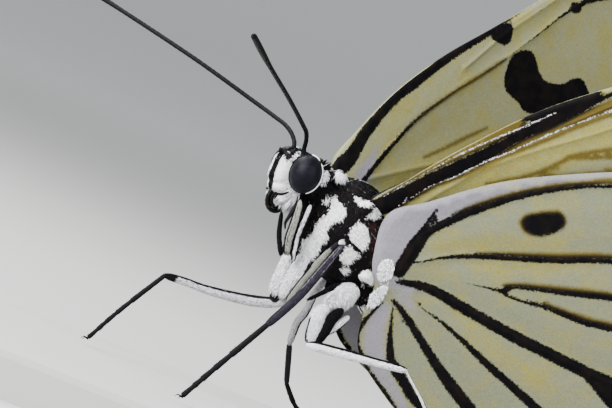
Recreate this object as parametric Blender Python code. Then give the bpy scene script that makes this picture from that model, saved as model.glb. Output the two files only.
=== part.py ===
"""Paper kite butterfly, Idea leuconoe, at life size, standing on a flat base.

Lengths are written in millimetres and become metres when a mesh is made.
X points forward, Y to the animal's left and Z up. Heights are counted from the
base's top face until the last step, which sets the model on the world origin.
"""
import math

import bmesh
import bpy
from mathutils import Matrix, Vector
from mathutils.geometry import delaunay_2d_cdt

MM = 0.001
GAP = 0.3  # clear space between two parts that touch

# Trunk
BODY_PITCH = 38.0  # degrees, head up
THORAX_CENTRE = Vector((-15.3, 0.0, 14.6))
THORAX_RADII = (4.0, 3.6, 3.5)  # along the body, across, back to breast
COLLAR_CENTRE = Vector((-11.9, 0.0, 16.3))
COLLAR_RADII = (1.4, 1.55, 2.0)
HEAD_CENTRE = Vector((-9.7, 0.0, 17.2))
HEAD_RADII = (1.85, 1.5, 1.45)
EYE_CENTRE = Vector((-9.7, 1.75, 17.2))
EYE_RADII = (1.05, 1.05, 1.3)

ABDOMEN_LENGTH = 23.0
ABDOMEN_RADIUS = 1.9
ABDOMEN_RINGS = 8
ABDOMEN_DROP = 12.0  # degrees below level at the tip
ABDOMEN_ROOT = Vector((-17.2, 0.0, 12.6))

# Feelers, palps and tongue
ANTENNA_RADIUS = 0.25
CLUB_RADIUS = 0.36
CLUB_START = 0.72  # share of the antenna's length at which the club begins to swell
ANTENNA_PATH = {
    "left": [(-9.6, 0.64, 18.1), (-8.9, 1.3, 19.3), (-8.0, 2.3, 19.95), (-6.5, 4.0, 20.55),
             (-3.3, 8.1, 21.6), (1.6, 14.1, 23.1), (5.7, 19.4, 24.4)],
    "right": [(-9.5, -0.62, 17.95), (-8.9, -1.3, 19.25), (-8.2, -2.9, 19.9), (-2.55, -8.1, 21.3),
              (3.1, -14.1, 22.5), (7.0, -18.3, 23.2)],
}
PALP_RADIUS = 0.44
PALP_END = 0.75  # a palp's radius at its ends and its swell between, as shares of PALP_RADIUS
PALP_SWELL = 0.4
PALP_PATH = [(-10.15, 0.87, 16.3), (-9.9, 0.95, 15.4), (-9.6, 0.95, 14.95), (-9.25, 0.93, 14.65)]
COIL_CENTRE = Vector((-9.35, 0.0, 14.66))
COIL_OUTER = 0.77
COIL_INNER = 0.28
COIL_TURNS = 1.0
COIL_START = 105.0  # degrees round the coil at which the tongue leaves the mouth
TONGUE_RADIUS = 0.19
TONGUE_LEAD = [(0.1, 0.0, 1.35), (0.25, 0.0, 1.0)]  # from the mouth, measured from the coil's centre
TONGUE_TIP = (0.95, 0.85, 0.7)  # shares of the radius over the last rings

# Wings. A wing's own coordinates are (a, b): a runs tailwards along the body,
# b outwards from the hinge.
FORE_HINGE = {"left": Vector((-15.9, 2.3, 16.55)), "right": Vector((-14.8, -2.3, 17.7))}
HIND_HINGE = {"left": Vector((-17.69, 3.2, 14.05)), "right": Vector((-17.69, -3.2, 14.05))}
FORE_OPEN = 22.0  # degrees between the wing and the body's plane of symmetry
HIND_OPEN = 25.0
HIND_LIFT = {"left": 0.0, "right": 10.0}  # degrees that the blade is turned up in its own plane
FORE_SPAN = 58.0
WING_BEND = 2.0  # outward curve of the blade at FORE_SPAN from the hinge
ANAL_BEND = 0.42  # slope of the inner field, which runs down beside the abdomen
MEMBRANE = 0.5
VEIN_RISE = 0.17
VEIN_WIDTH = 0.9
ROOT_RISE = 0.3
ROOT_REACH = 2.2

# Base
BASE_FRONT = 16.0
BASE_REAR = -54.0
BASE_WIDTH = 36.0
BASE_THICKNESS = 3.0
BASE_BEVEL = 0.4

# Legs, root to foot. Each leg: coxa, femur, tibia, tarsus.
COXA_RADIUS = 0.55
FEMUR_RADIUS = 0.42
TIBIA_RADIUS = 0.3
TARSUS_RADIUS = 0.25
HIND_STOUTNESS = 1.3  # the hairy hind coxa and femur against the middle ones
FORE_LEG_RADIUS = 0.26
FOOT_LEVEL = GAP
LIMB_TAPER = 0.2  # how much a length of leg narrows at its very ends
END_DOME = 0.5  # how far a bar's end stands out, as a share of its radius

LEG_JOINTS = {
    "midleg_left": {
        "root": (-13.0, 1.0, 13.2), "hip": (-12.4, 1.35, 8.9), "knee": (-12.5, 5.2, 14.3),
        "shin": (-12.3, 6.1, 13.7), "ankle": (-9.39, 6.6, 7.0), "toe": (-7.2, 7.0, 3.4),
        "foot": (-5.5, 7.3, 0.55)},
    "midleg_right": {
        "root": (-13.0, -1.0, 13.2), "hip": (-12.75, -1.2, 8.8), "knee": (-15.9, -6.0, 8.4),
        "shin": (-15.9, -6.0, 8.4), "ankle": (-7.36, -7.0, 6.5), "toe": (-5.3, -7.3, 3.2),
        "foot": (-3.88, -7.5, 0.55)},
    "hindleg_left": {
        "root": (-16.3, 1.3, 13.0), "hip": (-15.4, 2.0, 9.7), "knee": (-13.1, 5.8, 6.8),
        "shin": (-13.1, 5.8, 6.8), "ankle": (-20.0, 7.2, 7.8), "toe": (-23.0, 7.6, 5.2),
        "foot": (-25.4, 8.4, 0.55)},
    "hindleg_right": {
        "root": (-16.3, -1.3, 13.0), "hip": (-16.1, -2.0, 9.3), "knee": (-17.5, -6.0, 5.6),
        "shin": (-17.5, -6.0, 5.6), "ankle": (-20.3, -9.6, 2.6), "toe": (-22.4, -11.0, 1.2),
        "foot": (-24.6, -12.2, 0.55)},
}

# Folded forelegs: coxa down from the collar, femur back up, tibia down again
FORELEG_JOINTS = {
    "foreleg_left": {
        "root": (-11.2, 1.6, 15.5), "hip": (-11.65, 2.0, 11.6),
        "shin": (-10.95, 1.6, 11.4), "knee": (-10.2, 1.8, 15.3)},
    "foreleg_right": {
        "root": (-12.1, -1.2, 15.6), "hip": (-12.1, -1.7, 11.6),
        "shin": (-11.5, -1.1, 11.5), "knee": (-10.75, -1.3, 14.1)},
}

COLOURS = {
    "stand": (0.62, 0.62, 0.6),
    "black": (0.012, 0.011, 0.012),
    "white": (0.8, 0.8, 0.76),
    "wing": (0.6, 0.6, 0.52),
    "eye": (0.008, 0.01, 0.02),
    "shank": (0.42, 0.42, 0.4),
}
ROUGHNESS = {"stand": 0.5, "black": 0.6, "white": 0.8, "wing": 0.6, "eye": 0.15, "shank": 0.6}


def clear_scene():
    for obj in list(bpy.data.objects):
        bpy.data.objects.remove(obj, do_unlink=True)


def make_material(part_name, kind):
    material = bpy.data.materials.new(part_name)
    material.use_nodes = True
    shader = material.node_tree.nodes["Principled BSDF"]
    shader.inputs["Base Color"].default_value = (*COLOURS[kind], 1.0)
    shader.inputs["Roughness"].default_value = ROUGHNESS[kind]
    shader.inputs["Metallic"].default_value = 0.0
    return material


def make_object(name, vertices, faces, kind):
    """Closed mesh object from millimetre vertices, with its own material."""
    mesh = bpy.data.meshes.new(name)
    mesh.from_pydata([tuple(MM * c for c in v) for v in vertices], [], faces)
    mesh.validate()
    work = bmesh.new()
    work.from_mesh(mesh)
    bmesh.ops.recalc_face_normals(work, faces=work.faces)
    work.to_mesh(mesh)
    work.free()
    mesh.shade_smooth()
    obj = bpy.data.objects.new(name, mesh)
    bpy.context.scene.collection.objects.link(obj)
    if kind is not None:
        mesh.materials.append(make_material(name, kind))
    return obj


def body_axes():
    """Forward, left and upward directions of the pitched trunk."""
    pitch = math.radians(BODY_PITCH)
    forward = Vector((math.cos(pitch), 0.0, math.sin(pitch)))
    up = Vector((-math.sin(pitch), 0.0, math.cos(pitch)))
    return forward, Vector((0.0, 1.0, 0.0)), up


LEVEL_AXES = (Vector((1.0, 0.0, 0.0)), Vector((0.0, 1.0, 0.0)), Vector((0.0, 0.0, 1.0)))


def blob(name, centre, radii, kind, axes=LEVEL_AXES, power=2.0, grow=0.0, segments=28, rings=16):
    """Rounded body: an ellipsoid, fuller in its corners as power rises."""
    radii = [r + grow for r in radii]
    vertices = []
    for ring in range(1, rings):
        polar = math.pi * ring / rings
        for step in range(segments):
            turn = 2.0 * math.pi * step / segments
            direction = (math.cos(polar), math.sin(polar) * math.cos(turn),
                         math.sin(polar) * math.sin(turn))
            fullness = sum(abs(d) ** power for d in direction) ** (-1.0 / power)
            point = Vector(centre)
            for axis, radius, part in zip(axes, radii, direction):
                point += axis * (radius * part * fullness)
            vertices.append(point)
    first = len(vertices)
    vertices.append(Vector(centre) + axes[0] * radii[0])
    vertices.append(Vector(centre) - axes[0] * radii[0])
    faces = []
    for ring in range(rings - 2):
        for step in range(segments):
            following = (step + 1) % segments
            a = ring * segments
            b = a + segments
            faces.append((a + step, a + following, b + following, b + step))
    last = (rings - 2) * segments
    for step in range(segments):
        following = (step + 1) % segments
        faces.append((first, following, step))
        faces.append((first + 1, last + step, last + following))
    return make_object(name, vertices, faces, kind)


def smooth_path(points, steps):
    """Points along a smooth curve through the given ones."""
    points = [Vector(p) for p in points]
    ends = [points[0] * 2.0 - points[1]] + points + [points[-1] * 2.0 - points[-2]]
    path = []
    for index in range(1, len(ends) - 2):
        p0, p1, p2, p3 = ends[index - 1:index + 3]
        for step in range(steps):
            t = step / steps
            path.append(0.5 * ((2.0 * p1) + (p2 - p0) * t
                               + (2.0 * p0 - 5.0 * p1 + 4.0 * p2 - p3) * t * t
                               + (3.0 * p1 - p0 - 3.0 * p2 + p3) * t ** 3))
    path.append(points[-1])
    return path


def tube(name, path, radii, kind, sides=8, flatten=1.0):
    """Round bar along a path, closed by a dome point at each end."""
    path = [Vector(p) for p in path]
    count = len(path)
    start_dir = (path[1] - path[0]).normalized()
    end_dir = (path[-1] - path[-2]).normalized()
    side = start_dir.orthogonal().normalized()
    vertices = []
    for index, point in enumerate(path):
        before = path[max(index - 1, 0)]
        after = path[min(index + 1, count - 1)]
        along = (after - before).normalized()
        side = (side - along * side.dot(along)).normalized()
        other = along.cross(side)
        for step in range(sides):
            turn = 2.0 * math.pi * step / sides
            offset = side * math.cos(turn) + other * (math.sin(turn) * flatten)
            vertices.append(point + offset * radii[index])
    faces = []
    for index in range(count - 1):
        for step in range(sides):
            following = (step + 1) % sides
            a = index * sides
            b = a + sides
            faces.append((a + step, a + following, b + following, b + step))
    start = len(vertices)
    vertices.append(path[0] - start_dir * radii[0] * END_DOME)
    vertices.append(path[-1] + end_dir * radii[-1] * END_DOME)
    last = (count - 1) * sides
    for step in range(sides):
        following = (step + 1) % sides
        faces.append((start, following, step))
        faces.append((start + 1, last + step, last + following))
    return make_object(name, vertices, faces, kind)


def keep_largest(obj):
    """Drop every loose piece of a mesh but the one with the most volume."""
    work = bmesh.new()
    work.from_mesh(obj.data)
    unseen = set(work.verts)
    pieces = []
    while unseen:
        stack = [unseen.pop()]
        piece = set(stack)
        while stack:
            vertex = stack.pop()
            for edge in vertex.link_edges:
                other = edge.other_vert(vertex)
                if other in unseen:
                    unseen.discard(other)
                    piece.add(other)
                    stack.append(other)
        pieces.append(piece)

    def extent(piece):
        spans = []
        for axis in range(3):
            values = [v.co[axis] for v in piece]
            spans.append(max(values) - min(values))
        return spans[0] * spans[1] + spans[1] * spans[2] + spans[0] * spans[2]

    pieces.sort(key=extent, reverse=True)
    for piece in pieces[1:]:
        bmesh.ops.delete(work, geom=list(piece), context="VERTS")
    work.to_mesh(obj.data)
    work.free()


def cut(obj, cutters):
    """Take the cutters' volume out of the object and remove the cutters."""
    for cutter in cutters:
        cutter.hide_render = True
        cutter.display_type = "WIRE"
        modifier = obj.modifiers.new("cut", "BOOLEAN")
        modifier.operation = "DIFFERENCE"
        modifier.solver = "EXACT"
        modifier.object = cutter
    settled = bpy.data.meshes.new_from_object(
        obj.evaluated_get(bpy.context.evaluated_depsgraph_get()))
    obj.modifiers.clear()
    material = obj.data.materials[0]
    obj.data = settled
    settled.materials.clear()
    settled.materials.append(material)
    for cutter in cutters:
        bpy.data.objects.remove(cutter, do_unlink=True)
    keep_largest(obj)


def thorax_form(name, kind=None, grow=0.0):
    return blob(name, THORAX_CENTRE, THORAX_RADII, kind, axes=body_axes(), power=2.2, grow=grow)


def head_form(name, kind=None, grow=0.0):
    return blob(name, HEAD_CENTRE, HEAD_RADII, kind, grow=grow)


def collar_form(name, kind=None, grow=0.0):
    return blob(name, COLLAR_CENTRE, COLLAR_RADII, kind, grow=grow, segments=20, rings=12)


def eye_form(name, side, kind=None, grow=0.0):
    centre = EYE_CENTRE.copy()
    centre.y *= side
    return blob(name, centre, EYE_RADII, kind, grow=grow, segments=20, rings=12)


def build_trunk():
    thorax_form("thorax", "black")
    head = head_form("head", "black")
    cut(head, [eye_form("socket", side, grow=GAP) for side in (1, -1)])
    eye_form("eye_left", 1, "eye")
    eye_form("eye_right", -1, "eye")
    collar = collar_form("prothorax", "black")
    cut(collar, [thorax_form("thorax_room", grow=GAP), head_form("head_room", grow=GAP)])


def abdomen_path():
    """Centre line of the abdomen, bending from the trunk's pitch towards level."""
    start_angle = math.radians(BODY_PITCH - 8.0)
    end_angle = math.radians(ABDOMEN_DROP)
    steps = ABDOMEN_RINGS * 4
    path = [ABDOMEN_ROOT.copy()]
    for step in range(steps):
        t = min(1.0, 3.0 * step / steps)
        angle = start_angle + (end_angle - start_angle) * t
        stride = ABDOMEN_LENGTH / steps
        path.append(path[-1] + Vector((-math.cos(angle), 0.0, -math.sin(angle))) * stride)
    return path


def abdomen_radius(t):
    """Radius along the abdomen: narrow waist, full middle, blunt tip, soft rings."""
    swell = 0.72 + 0.28 * math.sin(math.pi * min(1.0, t * 1.25 + 0.1))
    taper = math.sqrt(max(0.0, 1.0 - max(0.0, (t - 0.72) / 0.30) ** 2))
    ring = 1.0 + 0.04 * math.cos(2.0 * math.pi * ABDOMEN_RINGS * t)
    return ABDOMEN_RADIUS * swell * max(0.25, taper) * ring


def build_abdomen():
    path = abdomen_path()
    radii = [abdomen_radius(i / (len(path) - 1)) for i in range(len(path))]
    abdomen = tube("abdomen", path, radii, "black", sides=18)
    cut(abdomen, [thorax_form("thorax_room", grow=GAP)])


def build_antenna(side_name):
    path = smooth_path(ANTENNA_PATH[side_name], 4)
    count = len(path)
    radii = []
    for index in range(count):
        t = index / (count - 1)
        club = max(0.0, (t - CLUB_START) / (1.0 - CLUB_START))
        radii.append(ANTENNA_RADIUS + (CLUB_RADIUS - ANTENNA_RADIUS) * math.sin(math.pi * club * 0.8))
    antenna = tube("antenna_" + side_name, path, radii, "black", sides=6)
    cut(antenna, [head_form("head_room", grow=GAP)])


def build_palp(name, side):
    path = smooth_path([(x, side * y, z) for x, y, z in PALP_PATH], 4)
    last = len(path) - 1
    radii = [PALP_RADIUS * (PALP_END + PALP_SWELL * math.sin(math.pi * i / last))
             for i in range(last + 1)]
    palp = tube(name, path, radii, "white", sides=10)
    cut(palp, [head_form("head_room", grow=GAP)])


def build_proboscis():
    """Tongue coiled like a watch spring between the palps."""
    steps = 26
    path = []
    for step in range(steps + 1):
        t = step / steps
        turn = math.radians(COIL_START) + 2.0 * math.pi * COIL_TURNS * t
        radius = COIL_OUTER + (COIL_INNER - COIL_OUTER) * t
        path.append(COIL_CENTRE + Vector((-radius * math.cos(turn), 0.0, radius * math.sin(turn))))
    path = [COIL_CENTRE + Vector(point) for point in TONGUE_LEAD] + path
    full = len(path) - len(TONGUE_TIP)
    radii = [TONGUE_RADIUS] * full + [TONGUE_RADIUS * share for share in TONGUE_TIP]
    tongue = tube("proboscis", path, radii, "black", sides=8)
    cut(tongue, [head_form("head_room", grow=GAP)])


class Wing:
    """One wing blade: its place on the body and its own flat coordinates."""

    def __init__(self, name, side, hinge, opening, lift, outline, veins, anal):
        self.name = name
        self.side = side
        self.hinge = hinge
        self.anal = anal
        self.outline = outline
        self.veins = veins
        forward, left, up = body_axes()
        fan = math.radians(opening)
        tail = -forward
        outward = up * math.cos(fan) + left * (side * math.sin(fan))
        turn = math.radians(lift)
        self.a_axis = tail * math.cos(turn) + outward * math.sin(turn)
        self.b_axis = outward * math.cos(turn) - tail * math.sin(turn)
        self.normal = tail.cross(outward) * side

    def place(self, a, b, height):
        """World point of wing coordinates, height measured outwards from the blade."""
        bend = WING_BEND * (b / FORE_SPAN) ** 2 if b > 0.0 else 0.0
        if self.anal:
            fold = max(0.0, 0.5 - b)
            bend += ANAL_BEND * fold * fold / (fold + 1.0)
        return self.hinge + self.a_axis * a + self.b_axis * b + self.normal * (bend + height)

    def half_thickness(self, point, vein_paths):
        """Half the blade's thickness: membrane, raised veins and a stout root."""
        rise = 0.0
        for path in vein_paths:
            for start, end in zip(path, path[1:]):
                along = end - start
                t = (point - start).dot(along) / along.length_squared
                foot = start + along * min(1.0, max(0.0, t))
                near = 1.0 - (point - foot).length / (VEIN_WIDTH * 0.5)
                rise = max(rise, min(1.0, near * 1.02))
        root = ROOT_RISE * math.exp(-(point.length / ROOT_REACH) ** 2)
        return MEMBRANE * 0.5 + VEIN_RISE * max(0.0, rise) + root


def vein_strips(path):
    """A vein's centre line and its two foot lines."""
    strips = [path]
    for sign in (1.0, -1.0):
        strip = []
        for index, point in enumerate(path):
            along = (path[min(index + 1, len(path) - 1)] - path[max(index - 1, 0)]).normalized()
            strip.append(point + Vector((-along.y, along.x)) * (sign * VEIN_WIDTH * 0.5))
        strips.append(strip)
    return strips


def flat_mesh(outline, strips):
    """Triangles of the blade's flat plan with every vein line as an edge."""
    points = list(outline)
    edges = [(i, (i + 1) % len(outline)) for i in range(len(outline))]
    for strip in strips:
        first = len(points)
        points.extend(strip)
        edges.extend((first + i, first + i + 1) for i in range(len(strip) - 1))
    result = delaunay_2d_cdt(points, edges, [list(range(len(outline)))], 1, 0.02)
    return result[0], result[2]


def build_wing(wing, kind="wing"):
    outline = smooth_closed(wing.outline, 4)
    paths = [[p.xy for p in smooth_path([(a, b, 0.0) for a, b in vein], 3)] for vein in wing.veins]
    strips = [strip for path in paths for strip in vein_strips(path)]
    plan, triangles = flat_mesh(outline, strips)
    count = len(plan)
    heights = [wing.half_thickness(p, paths) for p in plan]
    vertices = [wing.place(p.x, p.y, h) for p, h in zip(plan, heights)]
    vertices += [wing.place(p.x, p.y, -h) for p, h in zip(plan, heights)]
    faces = [tuple(t) for t in triangles]
    faces += [tuple(i + count for i in reversed(t)) for t in triangles]
    border = {}
    for a, b, c in triangles:
        for pair in ((a, b), (b, c), (c, a)):
            if (pair[1], pair[0]) in border:
                del border[(pair[1], pair[0])]
            else:
                border[pair] = True
    for a, b in border:
        faces.append((b, a, a + count))
        faces.append((b, a + count, b + count))
    blade = make_object(wing.name, vertices, faces, kind)
    cut(blade, [thorax_form("thorax_room", grow=GAP)])
    return blade


def smooth_closed(points, steps):
    """Closed smooth outline through the given points."""
    points = [Vector(p) for p in points]
    count = len(points)
    loop = []
    for index in range(count):
        p0, p1, p2, p3 = (points[(index + k) % count] for k in (-1, 0, 1, 2))
        for step in range(steps):
            t = step / steps
            loop.append(0.5 * ((2.0 * p1) + (p2 - p0) * t
                               + (2.0 * p0 - 5.0 * p1 + 4.0 * p2 - p3) * t * t
                               + (3.0 * p1 - p0 - 3.0 * p2 + p3) * t ** 3))
    return loop


# Forewing plan: leading edge, which curves a little less on the near wing than on the
# far one, then the tip, the outer edge and the inner edge back
FORE_LEAD = {
    "left": [(-1.2, -0.6), (-1.75, 2.8), (-2.3, 7.5), (-2.6, 12.8), (-2.1, 18.5), (-1.1, 25.0)],
    "right": [(-1.7, -0.4), (-2.5, 2.8), (-2.9, 7.5), (-2.55, 12.8), (-1.65, 18.5), (-0.7, 25.0)],
}
FORE_OUTLINE = [(0.4, 34.0), (2.9, 44.0), (6.4, 52.0), (11.0, 56.6), (15.4, 55.0), (18.3, 48.0),
                (21.3, 39.0), (25.2, 30.5), (27.0, 26.2), (24.6, 22.6), (17.0, 14.6),
                (9.0, 6.6), (4.2, 1.8), (1.6, -0.8)]
FORE_CELL_TOP = [(-0.6, 1.0), (-0.7, 6.0), (-0.7, 12.0), (-0.1, 19.0), (1.4, 26.5), (3.8, 32.5)]
FORE_CELL_FLOOR = [(0.7, 1.6), (3.4, 8.0), (7.0, 16.0), (11.6, 24.4), (13.4, 28.0)]
FORE_VEINS = [
    FORE_CELL_TOP,
    FORE_CELL_FLOOR,
    [(3.8, 32.5), (8.0, 31.4), (13.4, 28.0)],
    [(-0.7, 12.0), (-0.7, 20.0), (0.9, 32.0)],
    [(1.4, 26.5), (2.2, 34.0), (4.6, 43.0), (7.2, 50.0)],
    [(3.8, 32.5), (6.8, 43.0), (11.4, 55.0)],
    [(6.5, 32.0), (11.0, 42.5), (15.2, 52.8)],
    [(10.0, 30.6), (14.6, 39.4), (18.2, 46.6)],
    [(13.4, 28.0), (17.6, 34.2), (20.9, 38.6)],
    [(11.6, 24.4), (17.6, 29.6), (23.3, 33.2)],
    [(7.0, 16.0), (13.4, 22.0), (19.6, 26.4), (25.6, 28.6)],
    [(1.4, 1.0), (6.4, 5.8), (14.4, 14.0), (25.0, 24.6)],
]

# Hindwing plan: shoulder lobe, leading edge, outer edge, inner edge
HIND_OUTLINE = [(-1.0, -1.0), (-3.4, 1.2), (-3.1, 4.2), (-2.6, 8.6), (-1.5, 12.6), (0.5, 18.0),
                (3.8, 25.0), (8.4, 31.4), (14.4, 35.6), (21.4, 35.6), (28.0, 31.4), (32.4, 24.8),
                (33.4, 17.6), (31.2, 11.0), (26.3, 5.0), (20.9, 0.5), (15.4, -2.8), (9.5, -4.0),
                (4.8, -4.5), (2.6, -3.4), (1.0, -1.8)]
HIND_VEINS = [
    [(0.7, 0.2), (-1.2, 2.7), (-1.3, 5.0), (-0.6, 10.4), (0.9, 16.0), (4.0, 23.4), (9.4, 31.0)],
    [(0.6, 1.8), (0.9, 3.2), (3.3, 8.2), (6.0, 13.8), (9.6, 20.4)],
    [(9.6, 20.4), (12.4, 27.4), (15.4, 34.6)],
    [(9.6, 20.4), (14.6, 19.8), (19.4, 15.2)],
    [(14.6, 19.8), (19.8, 27.0), (23.6, 33.8)],
    [(18.0, 17.2), (24.4, 23.6), (29.6, 28.8)],
    [(1.4, -0.1), (5.3, 3.7), (9.5, 6.8), (14.5, 10.3), (19.4, 15.2), (27.0, 20.2), (32.6, 22.8)],
    [(14.5, 10.3), (23.4, 14.0), (32.6, 15.0)],
    [(9.5, 6.8), (18.6, 9.2), (29.6, 9.4)],
    [(2.4, -1.0), (7.0, -0.4), (12.4, 0.6), (18.4, 2.0), (24.6, 3.6)],
    [(2.8, -1.2), (5.0, -2.4), (9.1, -2.8), (15.0, -2.2)],
]


def build_wings():
    for side_name, side in (("left", 1), ("right", -1)):
        build_wing(Wing("forewing_" + side_name, side, FORE_HINGE[side_name], FORE_OPEN, 0.0,
                        FORE_LEAD[side_name] + FORE_OUTLINE, FORE_VEINS, False))
        build_wing(Wing("hindwing_" + side_name, side, HIND_HINGE[side_name], HIND_OPEN,
                        HIND_LIFT[side_name], HIND_OUTLINE, HIND_VEINS, True))


def limb(name, joints, start_radius, end_radius, kind, grow=0.0, sides=8):
    """Leg length through its joints, fullest a little way in from each end."""
    joints = [Vector(j) for j in joints]
    joints[0] = joints[0] + (joints[0] - joints[1]).normalized() * grow
    joints[-1] = joints[-1] + (joints[-1] - joints[-2]).normalized() * grow
    if len(joints) == 2:
        joints.insert(1, (joints[0] + joints[1]) * 0.5)
    path = smooth_path(joints, 3)
    last = len(path) - 1
    radii = []
    for index in range(last + 1):
        t = index / last
        end_taper = 1.0 - LIMB_TAPER * abs(2.0 * t - 1.0) ** 4
        radii.append((start_radius + (end_radius - start_radius) * t) * end_taper + grow)
    return tube(name, path, radii, kind, sides=sides)


def build_chain(name, lengths, trunk_rooms):
    """Leg of several lengths, each cut clear of the trunk and of the length before it."""
    for index, (part, joints, start_radius, end_radius, kind, sides) in enumerate(lengths):
        bar = limb(name + "_" + part, joints, start_radius, end_radius, kind, sides=sides)
        if index == 0:
            rooms = [form("trunk_room", grow=GAP) for form in trunk_rooms]
        else:
            before = lengths[index - 1]
            rooms = [limb("joint_room", *before[1:4], None, grow=GAP, sides=before[5])]
        cut(bar, rooms)
    return bar


def build_walking_leg(name, joints):
    stout = HIND_STOUTNESS if name.startswith("hind") else 1.0
    coxa = COXA_RADIUS * stout
    femur = FEMUR_RADIUS * stout
    shin = [joints["shin"], joints["ankle"]]
    toes = [joints["ankle"], joints["toe"], joints["foot"]]
    lengths = [
        ("coxa", [joints["root"], joints["hip"]], coxa, coxa * 0.8, "white", 8),
        ("femur", [joints["hip"], joints["knee"]], femur, femur * 0.75, "white", 8),
        ("tibia", shin, TIBIA_RADIUS, TIBIA_RADIUS * 0.85, "shank", 8),
        ("tarsus", toes, TARSUS_RADIUS, TARSUS_RADIUS, "black", 6),
    ]
    tarsus = build_chain(name, lengths, [thorax_form])
    flatten_foot(tarsus)


def flatten_foot(tarsus):
    """Give the foot a small level sole at the foot level."""
    level = FOOT_LEVEL * MM
    for vertex in tarsus.data.vertices:
        if vertex.co.z < level:
            vertex.co.z = level


def build_foreleg(name, joints):
    lengths = [
        ("coxa", [joints["root"], joints["hip"]], FORE_LEG_RADIUS, FORE_LEG_RADIUS, "white", 8),
        ("femur", [joints["shin"], joints["knee"]], FORE_LEG_RADIUS, FORE_LEG_RADIUS, "shank", 8),
    ]
    build_chain(name, lengths, [thorax_form, collar_form])


def build_legs():
    for name, joints in LEG_JOINTS.items():
        build_walking_leg(name, joints)
    for name, joints in FORELEG_JOINTS.items():
        build_foreleg(name, joints)


def build_base():
    length = BASE_FRONT - BASE_REAR
    centre_x = 0.5 * (BASE_FRONT + BASE_REAR)
    mesh = bpy.data.meshes.new("stand_base")
    work = bmesh.new()
    bmesh.ops.create_cube(work, size=1.0)
    bmesh.ops.scale(work, verts=work.verts,
                    vec=(length * MM, BASE_WIDTH * MM, BASE_THICKNESS * MM))
    bmesh.ops.translate(work, verts=work.verts,
                        vec=(centre_x * MM, 0.0, -0.5 * BASE_THICKNESS * MM))
    top_edges = [e for e in work.edges if all(v.co.z > -0.1 * MM for v in e.verts)]
    bmesh.ops.bevel(work, geom=top_edges, offset=BASE_BEVEL * MM, segments=2, affect="EDGES")
    work.to_mesh(mesh)
    work.free()
    mesh.materials.append(make_material("stand_base", "stand"))
    bpy.context.scene.collection.objects.link(bpy.data.objects.new("stand_base", mesh))


def settle_on_origin():
    """Move every part so that the model's bounding box stands on the origin."""
    corners = [v.co for obj in bpy.data.objects for v in obj.data.vertices]
    low = [min(c[i] for c in corners) for i in range(3)]
    high = [max(c[i] for c in corners) for i in range(3)]
    shift = Vector((-0.5 * (low[0] + high[0]), -0.5 * (low[1] + high[1]), -low[2]))
    for obj in bpy.data.objects:
        obj.data.transform(Matrix.Translation(shift))
    print("shift in millimetres", [round(c / MM, 3) for c in shift])


def main():
    clear_scene()
    build_base()
    build_trunk()
    build_abdomen()
    for side_name, side in (("left", 1), ("right", -1)):
        build_antenna(side_name)
        build_palp("palp_" + side_name, side)
    build_proboscis()
    build_wings()
    build_legs()
    settle_on_origin()


main()
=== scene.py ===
"""Paper kite butterfly, Idea leuconoe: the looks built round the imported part.

Lengths are in millimetres in the trunk's own frame: X forward, Y to the animal's left,
Z up from the top of the base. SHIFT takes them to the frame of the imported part.
"""
import math

import bpy
import numpy as np
from mathutils import Matrix, Vector
from mathutils.geometry import delaunay_2d_cdt


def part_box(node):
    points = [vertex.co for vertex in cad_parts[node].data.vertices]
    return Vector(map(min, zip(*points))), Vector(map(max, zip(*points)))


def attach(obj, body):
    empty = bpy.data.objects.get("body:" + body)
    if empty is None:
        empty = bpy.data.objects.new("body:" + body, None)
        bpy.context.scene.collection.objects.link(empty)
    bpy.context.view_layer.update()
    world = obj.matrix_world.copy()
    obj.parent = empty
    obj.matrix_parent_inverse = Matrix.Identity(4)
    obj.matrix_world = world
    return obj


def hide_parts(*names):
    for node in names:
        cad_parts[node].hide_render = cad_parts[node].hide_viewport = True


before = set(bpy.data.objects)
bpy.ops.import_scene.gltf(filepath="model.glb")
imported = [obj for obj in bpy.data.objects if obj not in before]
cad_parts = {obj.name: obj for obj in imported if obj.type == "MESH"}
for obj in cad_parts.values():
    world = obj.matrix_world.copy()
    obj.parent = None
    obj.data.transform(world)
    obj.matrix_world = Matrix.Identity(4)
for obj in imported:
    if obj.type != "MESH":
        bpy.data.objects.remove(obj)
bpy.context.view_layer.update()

MM = 0.001
RNG = np.random.default_rng(20)
SIDES = (("left", 1), ("right", -1))
EYE_CENTRE = np.array((-9.7, 1.75, 17.2))
EYE_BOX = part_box("eye_left")
SHIFT = (np.array(EYE_BOX[0]) + np.array(EYE_BOX[1])) * 0.5 / MM - EYE_CENTRE

# Trunk
BODY_PITCH = 38.0
THORAX_CENTRE = np.array((-15.3, 0.0, 14.6))
THORAX_RADII = (4.0, 3.6, 3.5)
COLLAR_CENTRE = np.array((-11.9, 0.0, 16.3))
COLLAR_RADII = (1.4, 1.55, 2.0)
HEAD_CENTRE = np.array((-9.7, 0.0, 17.2))
HEAD_RADII = (1.85, 1.5, 1.45)
EYE_RADII = (1.05, 1.05, 1.3)
COAT_DEPTH = 0.16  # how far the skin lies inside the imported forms
ABDOMEN_LENGTH = 23.0
ABDOMEN_RADIUS = 1.9
ABDOMEN_RINGS = 8
ABDOMEN_DROP = 12.0
ABDOMEN_ROOT = np.array((-17.2, 0.0, 12.6))
# Where the fields of the coat begin along X
WAIST = -18.3
NECK = -11.2
FACE = -9.6
HIDE_VOXEL = 0.09
ROOT_DEPTH = 0.03  # of scales and hairs under the surface
COAT_MARKS = ("white", "shade", "warm", "red")
BAKE_PATCH = 0.003  # width of one tuft's place on the unwrap

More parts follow.
